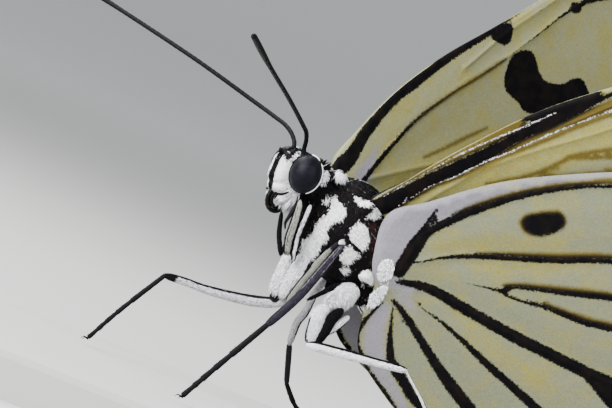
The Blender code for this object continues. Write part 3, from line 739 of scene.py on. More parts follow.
def margin_marks(ends, centre, outline, width):
    """Black border with pairs of white spots, and the row of black spots inside it."""
    loop = smooth_loop(outline, 8)
    ends = np.array(ends)
    centre = np.array(centre)

    def nearest(place):
        return int(np.argmin(np.linalg.norm(loop - place, axis=1)))

    run = loop[nearest(ends[0]):nearest(ends[-1]) + 1:4]
    share = np.linspace(0, 1, len(run))
    half = width * np.interp(share, [0.0, 0.12, 0.85, 1.0], [0.4, 1.0, 1.0, 0.5])
    border = Stripe([(p[0], p[1], h) for p, h in zip(run, half)])
    holes = []
    spots = []
    for start, end in zip(ends[:-1], ends[1:]):
        heading = math.degrees(math.atan2(end[1] - start[1], end[0] - start[0]))
        gap = np.linalg.norm(end - start)
        for part in (0.32, 0.68):
            spot = loop[nearest(start + (end - start) * part)]
            inward = unit(centre - spot)
            holes.append(Spot(spot + inward * width * 0.55, 0.085 * gap, width * 0.2, heading))
        middle = (start + end) * 0.5
        share_in = 1.0 - (width + 3.4) / np.linalg.norm(middle - centre)
        spots.append(Spot(centre + (middle - centre) * share_in,
                          min(1.5, 0.19 * gap), min(1.15, 0.15 * gap), heading))
    return border, holes, spots


def forewing_marks(ventral):
    """Marks of the forewing's underside or upper side, each kind as a list."""
    outline = FORE_LEAD["left"] + FORE_OUTLINE
    border, holes, spots = margin_marks(FORE_ENDS, FORE_CENTRE, outline, 2.4)
    veins = [Stripe(v, vein=True) for v in FORE_VEINS]
    radius = Stripe(FORE_RADIUS_VEIN, vein=True)
    ink = veins + spots + [border, Blotch(FORE_CELL_BLOTCH), Spot((8.4, 29.6), 2.6, 0.75, 160.0)]
    if ventral:
        ink.append(Stripe([(-0.82, -0.4, 0.7), (-0.82, 0.9, 0.67), (-0.85, 1.9, 0.6),
                           (-1.12, 4.2, 0.48), (-1.12, 6.5, 0.52), (-1.3, 9.0, 0.44),
                           (-1.55, 11.2, 0.36), (-1.6, 14.0, 0.4), (-1.7, 19.0, 0.12),
                           (-1.1, 24.0, 0.1)]))
        ink.append(Blotch([(-2.9, 11.9), (-2.0, 12.3), (-1.5, 12.9), (-1.38, 14.6), (-1.42, 16.4),
                           (-2.0, 17.2), (-2.6, 17.0)]))
        gold = [
            Stripe([(-1.3, 0.4, 0.06), (-1.68, 2.8, 0.08), (-2.22, 7.5, 0.15),
                    (-2.5, 12.0, 0.15)]),
            Stripe([(-1.66, 4.4, 0.0), (-1.86, 7.5, 0.1), (-1.9, 10.0, 0.14),
                    (-1.95, 12.2, 0.12)]),
            Stripe([(-0.62, 7.6, 0.06), (-0.88, 10.0, 0.18), (-1.02, 13.0, 0.3),
                    (-0.98, 16.0, 0.36), (-0.8, 20.0, 0.3), (0.2, 26.0, 0.1)]),
            Stripe([(-0.2, 1.4, 0.06), (-0.5, 4.3, 0.08), (-0.4, 6.4, 0.08), (-0.52, 9.0, 0.08),
                    (-0.48, 12.6, 0.09), (-0.44, 16.0, 0.09), (-0.1, 20.0, 0.06)]),
            Stripe([(0.75, 7.6, 0.0), (1.2, 9.4, 0.06), (1.48, 11.05, 0.08), (1.42, 12.85, 0.08),
                    (1.35, 13.84, 0.09), (1.98, 16.4, 0.08), (3.0, 21.0, 0.03)]),
            Stripe([(1.43, 13.44, 0.0), (2.0, 14.9, 0.05), (2.52, 16.2, 0.06)]),
            Stripe([(1.95, 11.45, 0.02), (2.8, 13.6, 0.08), (3.52, 15.8, 0.08)]),
        ]
        snow = [
            Stripe([(-0.32, 1.47, 0.02), (-0.55, 3.0, 0.0), (-0.7, 4.33, 0.0), (-0.58, 5.45, 0.02),
                    (-0.68, 7.0, 0.04), (-0.74, 8.4, 0.05), (-0.7, 10.0, 0.06),
                    (-0.72, 10.8, 0.02), (-0.74, 11.4, 0.08), (-0.76, 12.2, 0.03),
                    (-0.77, 12.8, 0.09), (-0.76, 13.5, 0.03), (-0.75, 14.1, 0.08),
                    (-0.74, 14.9, 0.02), (-0.7, 15.8, 0.07), (-0.66, 16.6, 0.03),
                    (-0.62, 17.5, 0.07), (-0.1, 22.0, 0.0)], vein=True),
            Stripe([(-1.4, 0.9, 0.0), (-1.7, 3.7, 0.0), (-1.98, 6.55, 0.03), (-2.07, 9.1, 0.04),
                    (-2.03, 11.3, 0.05), (-2.07, 13.9, 0.02)]),
            Stripe([(-0.62, 2.25, 0.0), (-0.5, 2.1, 0.05), (-0.42, 2.0, 0.0)]),
        ]
        pale = [Stripe([(2.6, 10.0, 0.2), (3.4, 14.0, 0.3)])]
        sunny = [Stripe([(0.2, 1.0, 0.5), (0.1, 5.0, 0.8), (0.2, 9.0, 1.0), (0.5, 13.0, 1.1),
                         (1.0, 18.0, 1.0)])]
    else:
        ink.append(Stripe([(-1.5, -0.8, 0.7), (-1.4, 0.9, 0.6), (-2.12, 3.7, 0.47),
                           (-2.55, 6.8, 0.4), (-2.55, 9.4, 0.46), (-2.25, 13.4, 0.32),
                           (-1.8, 17.2, 0.3), (-1.5, 19.6, 0.1), (-0.8, 25.0, 0.14),
                           (0.6, 33.0, 0.5), (3.4, 44.0, 0.9), (7.4, 52.0, 1.2)]))
        ink.append(Blotch(FORE_BUMP))
        ink.append(Spot((1.35, 25.9), 0.62, 0.42, 60.0))
        gold = [
            Stripe([(-0.2, 6.2, 0.05), (-0.3, 8.4, 0.1), (-0.02, 12.0, 0.09), (0.45, 15.5, 0.08),
                    (0.7, 17.6, 0.05)]),
            Stripe([(2.35, 7.0, 0.0), (2.89, 9.2, 0.04), (3.25, 10.8, 0.06), (3.9, 13.5, 0.0)]),
        ]
        snow = []
        pale = [Stripe([(0.3, 1.2, 0.7), (-0.5, 3.6, 0.1)])]
        sunny = [Stripe([(2.0, 3.0, 0.3), (3.4, 9.0, 0.5), (4.4, 14.0, 0.2)])]
        ink.append(radius)
    return {"ink": ink, "holes": holes, "gold": gold, "snow": snow, "pale": pale, "sunny": sunny,
            "veins": veins + [radius]}


def hindwing_marks(ventral):
    """The same of the hindwing."""
    border, holes, spots = margin_marks(HIND_ENDS, HIND_CENTRE, HIND_OUTLINE, 2.3)
    veins = [Stripe(v, vein=True) for v in HIND_VEINS]
    ink = veins + spots + [border, Blotch(HIND_OVAL)] + [Stripe(s) for s in HIND_STREAKS]
    ink.append(Spot((3.57, 0.49), 0.14, 0.09, 20.0))
    gold = [
        Stripe([(-1.6, 5.2, 0.02), (-1.62, 6.5, 0.12), (-1.5, 8.3, 0.16), (-1.2, 10.2, 0.18),
                (-0.75, 12.4, 0.18), (-0.1, 14.5, 0.17), (0.6, 16.6, 0.15), (3.8, 23.4, 0.1)]),
        Stripe([(1.7, 5.6, 0.02), (2.85, 8.0, 0.12), (4.2, 10.8, 0.17), (5.6, 13.9, 0.18),
                (9.2, 20.4, 0.1)]),
        Stripe([(4.6, 6.4, 0.08), (5.05, 7.4, 0.12), (5.85, 8.8, 0.16), (6.9, 10.6, 0.2),
                (8.3, 12.9, 0.2), (10.3, 15.9, 0.18)]),
        Stripe([(7.0, 8.35, 0.1), (8.25, 9.5, 0.18), (9.4, 10.7, 0.2), (10.5, 12.1, 0.18),
                (13.2, 14.8, 0.1)]),
        Blotch([(0.7, 9.2), (0.4, 9.8), (0.5, 10.5), (0.72, 11.3), (1.1, 12.05), (1.8, 12.1),
                (2.25, 11.7), (2.3, 10.8), (2.1, 9.9), (1.5, 9.25)]),
    ]
    pale = [
        Blotch([(-3.4, 0.4), (-3.5, 3.0), (-3.0, 6.2), (-2.4, 9.4), (-1.6, 12.4), (-0.2, 16.6),
                (0.2, 16.0), (-0.9, 12.4), (-1.5, 9.0), (-1.5, 5.0), (-1.2, 2.6), (0.0, 1.0),
                (0.6, 0.0), (1.0, -1.2), (-0.4, -1.4)]),
        Stripe([(1.0, -0.6, 0.5), (2.2, 0.2, 0.35), (3.0, 1.4, 0.1)]),
        Stripe([(2.6, -1.9, 0.55), (4.2, -3.2, 0.7), (6.6, -3.7, 0.5), (10.0, -3.4, 0.3)]),
        Stripe([(2.6, -0.4, 0.3), (4.0, 0.1, 0.2)]),
    ]
    snow = [Blotch(ROOT_SNOW), Blotch(ROOT_LOBE)]
    sunny = [
        Stripe([(0.0, 3.3, 0.2), (0.6, 4.5, 0.35), (1.2, 6.0, 0.3), (2.1, 8.2, 0.3),
                (3.2, 11.0, 0.2)]),
        Stripe([(-2.4, 5.2, 0.0), (-2.2, 6.4, 0.2), (-2.0, 8.2, 0.25), (-1.7, 10.0, 0.1)]),
        Stripe([(2.6, 5.2, 0.2), (4.0, 8.6, 0.4), (5.2, 12.0, 0.2)]),
        Stripe([(4.4, 2.4, 0.0), (8.0, 3.6, 0.2), (13.0, 6.0, 0.3)]),
    ]
    if not ventral:
        gold = gold[-1:]
        snow = []
    return {"ink": ink, "holes": holes, "gold": gold, "snow": snow, "pale": pale, "sunny": sunny,
            "veins": veins}


class Wing:
    """Where one wing's plan lies in space."""

    def __init__(self, kind, side_name):
        self.side = 1 if side_name == "left" else -1
        fore = kind == "forewing"
        self.anal = not fore
        self.hinge = np.array((FORE_HINGE if fore else HIND_HINGE)[side_name])
        fan = math.radians(FORE_OPEN if fore else HIND_OPEN)
        turn = math.radians(0.0 if fore else HIND_LIFT[side_name])
        outward = UP * math.cos(fan) + LEFT * (self.side * math.sin(fan))
        tail = -FORWARD
        self.a_axis = tail * math.cos(turn) + outward * math.sin(turn)
        self.b_axis = outward * math.cos(turn) - tail * math.sin(turn)
        self.normal = np.cross(tail, outward) * self.side

    def point(self, plan, height):
        """World points of plan positions, height measured towards the wing's underside."""
        a, b = plan[:, 0], plan[:, 1]
        bend = np.where(b > 0, WING_BEND * (b / FORE_SPAN) ** 2, 0.0)
        if self.anal:
            fold = np.maximum(0.0, 0.5 - b)
            bend = bend + ANAL_BEND * fold ** 2 / (fold + 1.0)
        return (self.hinge + a[:, None] * self.a_axis + b[:, None] * self.b_axis
                + (bend + height)[:, None] * self.normal)


def wing_plan(outline, marks):
    """Triangles of a blade's plan, with the outline and every guide line as edges."""
    loop = even_path(np.vstack([smooth_loop(outline, 6), smooth_loop(outline, 6)[:1]]), 0.4)[:-1]
    points = [Vector(p) for p in loop]
    edges = [(k, (k + 1) % len(points)) for k in range(len(points))]
    guides = []
    for group in marks:
        for mark in group["ink"] + group["snow"] + group["gold"] + group["veins"]:
            if not any(mark is g for g in guides):
                guides.append(mark)
    for mark in guides:
        for line in mark.guides():
            keep = inside_loop(line, loop) > 0.12
            for k in range(len(line)):
                points.append(Vector(line[k]))
                if k and keep[k] and keep[k - 1]:
                    edges.append((len(points) - 2, len(points) - 1))
            if not keep.any():
                del points[len(points) - len(line):]
    low, high = loop.min(0), loop.max(0)
    rows = []
    for k, b in enumerate(np.arange(low[1], high[1], FILLER_PITCH * 0.87)):
        a = np.arange(low[0] + (k % 2) * FILLER_PITCH / 2, high[0], FILLER_PITCH)
        rows.append(np.stack([a, np.full(len(a), b)], 1))
    filler = np.vstack(rows)
    filler = filler + RNG.uniform(-0.12, 0.12, filler.shape)
    filler = filler[inside_loop(filler, loop) > 0.3]
    taken = np.array([tuple(p) for p in points])
    free = np.ones(len(filler), bool)
    for start in range(0, len(filler), 500):
        part = filler[start:start + 500]
        gap = ((part[:, None] - taken[None]) ** 2).sum(-1).min(1)
        free[start:start + 500] = gap > 0.2 ** 2
    points += [Vector(p) for p in filler[free]]
    plan, _, faces, _, _, _ = delaunay_2d_cdt(points, edges, [list(range(len(loop)))], 1, 0.01)
    return np.array([tuple(p) for p in plan]), np.array([tuple(f) for f in faces])


def channel(marks, plan):
    """Per-point marks of one side of a blade."""
    ink = most(marks["ink"], plan)
    for hole in marks["holes"]:
        ink = np.minimum(ink, -hole.value(plan))
    return {"ink": ink, "gold": most(marks["gold"], plan), "snow": most(marks["snow"], plan),
            "pale": np.clip(most(marks["pale"], plan) * 1.2 + 0.5, -1, 1.5),
            "sunny": blend_step(-0.9, 0.5, most(marks["sunny"], plan))}


def build_wing(name, wing, plan, faces, channels, heights, material):
    """One blade: underside, upper side and the rim between them."""
    half, sag = heights
    count = len(plan)
    lower = wing.point(plan, half + sag)
    upper = wing.point(plan, -half + sag)
    if wing.side > 0:
        bottom, top = faces, faces[:, ::-1]
    else:
        bottom, top = faces[:, ::-1], faces
    shape = Shape("ink", "gold", "snow", "pale", "sunny")
    shape.add(lower, tris=bottom, **channels[0])
    shape.add(upper, tris=top, **channels[1])
    pairs = np.vstack([bottom[:, [0, 1]], bottom[:, [1, 2]], bottom[:, [2, 0]]])
    keys = {}
    for a, b in pairs:
        if (b, a) in keys:
            del keys[(b, a)]
        else:
            keys[(a, b)] = True
    rim = np.array(list(keys))
    quads = np.stack([rim[:, 1], rim[:, 0], rim[:, 0] + count, rim[:, 1] + count], 1)
    shape.quads.append(quads)
    shape.object(name + "_scales", material, [name])


def root_down(shape, wing):
    """Fluffy scales over the white spots at a hindwing's root."""
    for loop in (ROOT_SNOW, ROOT_LOBE):
        loop = np.array(loop)
        low, high = loop.min(0), loop.max(0)
        spots = RNG.uniform(low, high, (int(260 * np.prod(high - low)), 2))
        spots = spots[inside_loop(spots, loop) > -0.03]
        count = len(spots)
        rise = BLADE * 0.5 + SAG + ROOT_RISE * np.exp(-(spots ** 2).sum(1) / ROOT_REACH ** 2)
        roots = wing.point(spots, rise)
        normals = np.broadcast_to(wing.normal, (count, 3))
        flow = wing.a_axis * 0.8 - wing.b_axis * 0.6 + RNG.normal(0, 0.3, (count, 3))
        shape.add_scales(roots, normals, flow, 0.24 * RNG.uniform(0.7, 1.3, count),
                         np.full(count, 0.08), np.radians(RNG.uniform(6.0, 26.0, count)),
                         0.3 + spots * 0.05, white=0.97, shade=RNG.random(count))


def build_wings():
    """Four blades, and the down at the roots of the hindwings."""
    cream = wing_look("forewing_membrane", CREAM, YELLOW, 0.5)
    grey = wing_look("hindwing_membrane", GREY_GREEN, YELLOW, 0.35)
    fluffy = coat_look("wing_down")
    for kind, maker, material in (("forewing", forewing_marks, cream),
                                  ("hindwing", hindwing_marks, grey)):
        groups = [maker(True), maker(False)]
        for side_name in ("left", "right"):
            outline = HIND_OUTLINE if kind == "hindwing" else FORE_LEAD[side_name] + FORE_OUTLINE
            plan, faces = wing_plan(outline, groups)
            channels = [channel(group, plan) for group in groups]
            rise = np.full(len(plan), -9.0)
            for vein in groups[0]["veins"]:
                flat = vein.path.copy()
                flat[:, 2] = 0.0
                rise = np.maximum(rise, along_line(plan, flat))
            ridge = VEIN_RISE * blend_step(-VEIN_REACH, 0.0, rise)
            root = ROOT_RISE * np.exp(-((plan ** 2).sum(1)) / ROOT_REACH ** 2)
            heights = (BLADE * 0.5 + ridge + root, SAG * blend_step(0.0, 2.0, -rise))
            name = kind + "_" + side_name
            wing = Wing(kind, side_name)
            build_wing(name, wing, plan, faces, channels, heights, material)
            if kind == "hindwing":
                fluff = Shape(*COAT_MARKS)
                root_down(fluff, wing)
                fluff.object(name + "_down", fluffy, smooth=False)


# Trunk


def abdomen_path():
    """Middle line of the abdomen, which droops from its root to the tip."""
    start = math.radians(BODY_PITCH - 8.0)
    end = math.radians(ABDOMEN_DROP)
    steps = ABDOMEN_RINGS * 12
    path = [ABDOMEN_ROOT]
    for step in range(steps):
        angle = start + (end - start) * min(1.0, 3.0 * step / steps)
        ahead = np.array((math.cos(angle), 0.0, math.sin(angle)))
        path.append(path[-1] - ahead * ABDOMEN_LENGTH / steps)
    return np.array(path)


def abdomen_radius(t):
    """Radius at a share of the length, with a swelling for each segment."""
    swell = 0.72 + 0.28 * np.sin(math.pi * np.minimum(1.0, t * 1.25 + 0.1))
    taper = np.sqrt(np.maximum(0.0, 1.0 - np.maximum(0.0, (t - 0.72) / 0.30) ** 2))
    ring = 1.0 + 0.04 * np.cos(2 * math.pi * ABDOMEN_RINGS * t)
    return ABDOMEN_RADIUS * swell * np.maximum(0.25, taper) * ring


# Lobes on both sides of the trunk: knobs of the shoulder, the collar and the legs' roots
PAIRED_LOBES = [
    ((-12.35, 1.3, 17.85), (0.6, 0.42, 0.5)),
    ((-16.4, 3.0, 12.45), (0.5, 0.5, 0.44)),
    ((-16.8, 2.9, 12.38), (0.44, 0.48, 0.5)),
    ((-16.75, 1.5, 11.0), (0.9, 0.7, 0.8)),
    ((-17.6, 2.1, 11.5), (0.6, 0.7, 0.9)),
    ((-14.6, 2.75, 16.2), (0.9, 0.6, 1.0)),
]


def trunk_forms():
    """Rounded bodies of the trunk: centre, radii, axes, power."""
    forms = [
        (THORAX_CENTRE, [r - COAT_DEPTH for r in THORAX_RADII], BODY_AXES, 2.2),
        (COLLAR_CENTRE, [r - COAT_DEPTH for r in COLLAR_RADII], LEVEL_AXES, 2.0),
        (HEAD_CENTRE + (-0.15, 0.0, 0.0), [r - 0.5 * COAT_DEPTH for r in HEAD_RADII],
         LEVEL_AXES, 2.0),
        ((-9.17, 0.0, 16.95), (1.02, 1.12, 1.2), LEVEL_AXES, 4.5),
        ((-9.43, 0.0, 16.12), (1.07, 1.06, 0.95), LEVEL_AXES, 4.0),
        ((-13.5, 0.0, 12.9), (1.9, 1.9, 1.8), LEVEL_AXES, 2.2),
        ((-12.6, 0.0, 14.6), (1.0, 1.5, 1.9), LEVEL_AXES, 2.0),
    ]
    for side in (1, -1):
        forms += [((x, y * side, z), radii, LEVEL_AXES, 2.0) for (x, y, z), radii in PAIRED_LOBES]
    return forms


# White marks of the thorax as outlines seen obliquely from in front of each flank: how far
# round to the tail, and height
FLANK_PATCHES = [
    [(11.8, 16.29), (11.93, 16.66), (12.09, 16.64), (12.34, 16.39), (12.78, 16.29), (13.06, 16.07),
     (13.13, 15.81), (13.0, 15.56), (13.11, 15.37), (12.76, 15.14), (12.51, 14.81), (12.42, 14.47),
     (12.46, 14.15), (12.65, 13.95), (12.59, 13.53), (12.48, 13.14), (12.48, 12.8), (12.41, 12.43),
     (12.31, 12.09), (12.14, 11.82), (11.49, 11.53), (11.34, 11.71), (11.27, 12.36),
     (11.16, 12.89), (11.37, 13.33), (11.57, 13.76), (11.54, 14.28), (11.67, 14.85),
     (11.96, 15.29), (12.03, 15.66), (12.01, 15.99)],
    [(11.4, 16.46), (11.53, 16.42), (11.62, 16.15), (11.68, 15.84), (11.58, 15.78),
     (11.51, 16.13)],
    [(11.3, 15.98), (11.38, 16.08), (11.5, 15.86), (11.42, 15.76)],
    [(11.62, 16.47), (11.68, 16.52), (11.76, 16.25), (11.82, 15.98), (11.72, 15.94),
     (11.63, 16.28)],
    [(14.1, 15.78), (14.64, 15.65), (14.96, 15.53), (15.04, 15.23), (15.31, 14.82), (15.37, 14.31),
     (15.21, 13.95), (14.93, 14.07), (14.47, 14.27), (14.09, 14.36), (13.83, 14.62),
     (13.85, 15.1)],
    [(13.98, 13.69), (14.23, 14.0), (14.59, 13.84), (14.92, 13.75), (15.28, 13.72), (15.09, 13.45),
     (14.88, 13.16), (14.76, 12.84), (14.45, 12.63), (14.07, 12.73), (13.9, 13.05),
     (13.99, 13.36)],
    [(14.3, 12.23), (14.5, 12.52), (14.75, 12.56), (14.96, 12.39), (14.89, 12.09), (14.7, 11.91),
     (14.45, 12.03)],
    [(11.28, 18.18), (11.49, 18.36), (11.62, 18.28), (11.82, 18.23), (11.95, 18.36),
     (12.18, 18.15), (12.31, 17.77), (11.67, 17.53), (11.44, 17.82)],
    [(13.07, 17.19), (13.74, 17.18), (14.49, 17.35), (14.44, 16.96), (13.79, 16.75),
     (13.45, 16.83)],
    [(14.4, 16.04), (14.74, 16.64), (14.76, 17.25), (15.36, 16.75), (15.18, 16.3), (14.72, 16.33)],
    [(15.66, 12.3), (15.78, 12.63), (16.11, 12.94), (16.56, 12.97), (16.88, 12.71), (16.92, 12.33),
     (16.67, 11.99), (16.22, 12.09), (15.84, 12.12)],
    [(16.06, 11.85), (16.27, 11.91), (16.35, 11.68), (16.19, 11.64)],
    [(16.92, 11.13), (16.88, 11.51), (17.16, 12.24), (17.42, 12.55), (17.77, 12.51), (17.75, 12.1),
     (17.68, 11.67), (17.77, 11.17), (17.48, 10.78), (17.04, 10.71)],
    [(10.57, 17.93), (10.85, 18.01), (11.02, 17.73), (11.09, 17.41), (10.98, 17.17),
     (10.78, 16.96), (10.69, 17.05), (10.71, 17.39), (10.68, 17.62)],
]
# White marks of the face, and the wedge on the crown, in the same view
FRONS_PATCH = [(7.4, 17.73), (7.66, 17.77), (7.93, 17.59), (8.15, 17.59), (8.3, 17.62),
               (8.51, 17.38), (9.01, 16.25), (8.87, 15.92), (8.79, 15.66), (8.68, 15.37),
               (8.55, 15.22), (8.29, 15.25), (7.82, 15.28), (7.7, 15.38), (7.7, 16.0),
               (7.55, 16.6), (7.46, 17.35)]
CROWN_WEDGE = [(8.09, 17.66), (8.29, 17.65), (8.46, 17.82), (8.57, 18.06), (8.57, 18.45),
               (8.44, 18.35), (8.32, 18.02)]
BROW_STRIPE = 0.42  # half width of the dark stripe down the face
BACK_SPOTS = [((1.9, 0.0), 1.1, 0.16), ((0.9, 1.0), 0.7, 0.3), ((-0.9, 1.3), 0.8, 0.28),
              ((-2.6, 0.0), 0.9, 0.3)]


def oblique(points):
    """Outline coordinates of the flank marks, the same on both flanks."""
    turn = math.radians(VIEW_TURN)
    return np.stack([-points[:, 0] * math.sin(turn) + np.abs(points[:, 1]) * math.cos(turn),
                     points[:, 2]], 1)


def white_marks(points):
    """Signed distance into the trunk's white fields, above zero inside them."""
    x, y, z = points.T
    across = np.abs(y)
    best = np.full(len(points), -1.0)
    seen = oblique(points)
    outer = (across > 0.35) & (x > WAIST)
    for patch in FLANK_PATCHES:
        best = np.maximum(best, np.where(outer, inside_loop(seen, np.array(patch, float)), -1.0))
    local = points - THORAX_CENTRE
    on_back = (local @ UP > 1.6) & (x < -12.0)
    back_view = np.stack([local @ FORWARD, across], 1)
    for centre, half_length, half_width in BACK_SPOTS:
        offset = (back_view - np.array(centre)) / np.array((half_length, half_width))
        value = (1 - np.linalg.norm(offset, axis=1)) * half_width
        best = np.maximum(best, np.where(on_back, value, -1.0))
    face = np.minimum(inside_loop(seen, np.array(FRONS_PATCH, float)), across - BROW_STRIPE)
    best = np.maximum(best, np.where(x > FACE, face, -1.0))
    wedge = inside_loop(seen, np.array(CROWN_WEDGE, float))
    best = np.maximum(best, np.where((across > 0.3) & (x > -10.2), wedge, -1.0))
    path = abdomen_path()
    nearest = np.argmin(((points[:, None, [0, 2]] - path[None, ::4, [0, 2]]) ** 2).sum(-1), 1) * 4
    drop = path[nearest, 2] - z
    ring = np.abs(((nearest / (len(path) - 1)) * ABDOMEN_RINGS) % 1.0 - 0.5)
    belly = np.minimum(drop + 0.1, across - 0.16)
    belly = np.where(ring > 0.44, belly - 0.1, belly)
    return np.where(x < WAIST, np.maximum(belly, -1.0), best)


RED_PATCHES = [
    [(14.92, 15.77), (15.47, 16.02), (15.81, 15.57), (15.97, 14.91), (15.94, 14.23), (16.17, 13.4),
     (16.08, 13.16), (15.88, 13.0), (15.79, 13.96), (15.46, 14.48), (15.27, 15.13)],
    [(13.81, 15.86), (14.53, 16.1), (15.33, 16.14), (15.5, 15.9), (14.9, 15.75), (14.3, 15.84)],
    [(11.22, 15.1), (11.38, 15.28), (11.66, 15.2), (11.6, 15.01), (11.39, 14.94)],
    [(11.19, 14.56), (11.52, 14.75), (11.67, 14.73), (11.56, 14.43), (11.4, 14.26),
     (11.24, 14.39)],
    [(11.05, 13.72), (11.15, 14.05), (11.37, 14.2), (11.36, 13.91), (11.27, 13.57),
     (11.16, 13.48)],
]


def red_marks(points):
    """Red-brown membrane in front of the hindwing's root and beside the forelegs."""
    seen = oblique(points)
    spot = np.full(len(points), -1.0)
    for patch in RED_PATCHES:
        spot = np.maximum(spot, inside_loop(seen, np.array(patch, float)))
    return blend_step(-0.1, 0.15, spot) * (np.abs(points[:, 1]) > 1.0) * (points[:, 0] > WAIST)


def vertex_values(mesh, name):
    values = np.empty(len(mesh.vertices) * 3, np.float32)
    mesh.vertices.foreach_get(name, values)
    return values.reshape(-1, 3).astype(float)


def build_skin():
    """One hide over head, collar, thorax and abdomen, fused from their forms."""
    shape = Shape()
    for form in trunk_forms():
        shape.add(*ellipsoid(*form))
    path = abdomen_path()
    shape.add_tube(path, abdomen_radius(np.linspace(0, 1, len(path))) - 0.1, 48)
    shape.add_tube(even_path([(-11.2, 0.0, 16.8), (-10.2, 0.0, 17.1)], 0.3), 1.15, 32)
    mesh = bpy.data.meshes.new("hide_forms")
    faces = np.vstack(shape.quads).tolist() + np.vstack(shape.tris).tolist()
    mesh.from_pydata(np.vstack(shape.points).tolist(), [], faces)
    forms = bpy.data.objects.new("hide_forms", mesh)
    bpy.context.scene.collection.objects.link(forms)
    fuse = forms.modifiers.new("fuse", "REMESH")
    fuse.mode = "VOXEL"
    fuse.voxel_size = HIDE_VOXEL
    settle = forms.modifiers.new("settle", "SMOOTH")
    settle.factor = 0.5
    settle.iterations = 8
    fused = bpy.data.meshes.new_from_object(
        forms.evaluated_get(bpy.context.evaluated_depsgraph_get()))
    bpy.data.objects.remove(forms, do_unlink=True)
    points = vertex_values(fused, "co")
    normals = vertex_values(fused, "normal")
    corners = np.empty(len(fused.loops), np.int32)
    fused.loops.foreach_get("vertex_index", corners)
    quads = corners.reshape(-1, 4)
    bpy.data.meshes.remove(fused)
    white = np.clip(white_marks(points) * 2.5 + 0.5, 0, 1)
    shape = Shape("white", "red")
    shape.add(points, quads, white=white, red=red_marks(points))
    shape.object("hide", skin_look("hide"), ["thorax", "prothorax", "head", "abdomen"])
    return points, normals, quads


def blades(roots, normals, flow, lengths, widths, lifts, thickness=0.3):
    """Thin tapering scale hairs. Each leaves its root at its lift and bends back to the hide."""
    count = len(roots)
    flow = unit(flow - normals * (flow * normals).sum(1, keepdims=True))
    across = np.cross(normals, flow)
    lift = np.asarray(lifts)[:, None]
    start = roots - normals * ROOT_DEPTH
    lean = unit(flow * np.cos(lift) + normals * np.sin(lift))
    bent = unit(flow * np.cos(lift * 0.5) + normals * np.sin(lift * 0.5))
    length = np.asarray(lengths)[:, None]
    width = np.asarray(widths)[:, None]
    rings = []
    for reach, share in ((0.0, 0.7), (0.5, 1.0)):
        centre = start + lean * length * reach
        thick = normals * width * thickness * share
        rings.append(centre - across * width * 0.5 * share)
        rings.append(centre + across * width * 0.5 * share)
        rings.append(centre + thick)
    tip = start + lean * length * 0.5 + bent * length * 0.5
    points = np.stack(rings + [tip], 1).reshape(-1, 3)
    base = np.arange(count)[:, None] * 7
    quads = np.array([(0, 1, 4, 3), (1, 2, 5, 4), (2, 0, 3, 5)])
    tris = np.array([(0, 2, 1), (3, 4, 6), (4, 5, 6), (5, 3, 6)])
    quads = (base[:, :, None] + quads[None]).reshape(-1, 4)
    tris = (base[:, :, None] + tris[None]).reshape(-1, 3)
    return points, quads, tris


def flat_scales(roots, normals, flow, lengths, widths, lifts):
    """Short flat scales, each a low ridge that tapers to its tip."""
    flow = unit(flow - normals * (flow * normals).sum(1, keepdims=True))
    across = np.cross(normals, flow) * np.asarray(widths)[:, None] * 0.5
    lift = np.asarray(lifts)[:, None]
    lean = (flow * np.cos(lift) + normals * np.sin(lift)) * np.asarray(lengths)[:, None]
    start = roots - normals * ROOT_DEPTH
    ridge = start + lean * 0.4 + normals * np.asarray(widths)[:, None] * 0.3
    points = np.stack([start - across, start + across, ridge, start + lean], 1).reshape(-1, 3)
    base = np.arange(len(roots))[:, None, None] * 4
    tris = np.array([(0, 3, 2), (1, 2, 3), (0, 2, 1), (0, 1, 3)])
    return points, (base + tris[None]).reshape(-1, 3)


def locks(shape, starts, tips, count, spread, width, **marks):
    """Pointed locks of hair: from round each start the hairs draw together at its tip."""
    starts = np.repeat(np.asarray(starts, float), count, 0)
    tips = np.repeat(np.asarray(tips, float), count, 0)
    roots = starts + RNG.normal(0, spread, starts.shape)
    ends = tips + RNG.normal(0, 0.3 * spread, tips.shape)
    way = ends - roots
    side = unit(np.cross(way, RNG.normal(0, 1, way.shape)))
    length = np.linalg.norm(way, axis=1) * RNG.uniform(0.75, 1.05, len(way))
    body, quads, tris = blades(roots, side, way, length, width * RNG.uniform(0.7, 1.2, len(way)),
                               np.zeros(len(way)))
    marks = {"shade": RNG.random(len(way)), **marks}
    shape.add(body, quads, tris, patches(coat_map(roots), BLADE_PATCH),
              **per_point(marks, len(way), 7))


# Places of a scale's and a hair's points on the unwrap
SCALE_PATCH = BAKE_PATCH * np.array([(0, 0), (1, 0), (0.5, 0.4), (0.5, 1)])
BLADE_PATCH = BAKE_PATCH * np.array([(0, 0), (1, 0), (0.5, 0.3), (0, 0.6), (1, 0.6), (0.5, 0.7),
                                     (0.5, 1)])


def coat_map(roots):
    """Places of roots on an unwrap of the trunk: round it and along it."""
    middle = np.interp(roots[:, 0], (-38, -17, -9), (8, 13, 17))
    turn = np.arctan2(roots[:, 1], roots[:, 2] - middle)
    u = 0.05 + 0.9 * (turn / (2 * math.pi) + 0.5)
    v = 0.05 + 0.9 * (roots[:, 0] + 41.0) / 34.0
    return np.stack([u, v], 1)


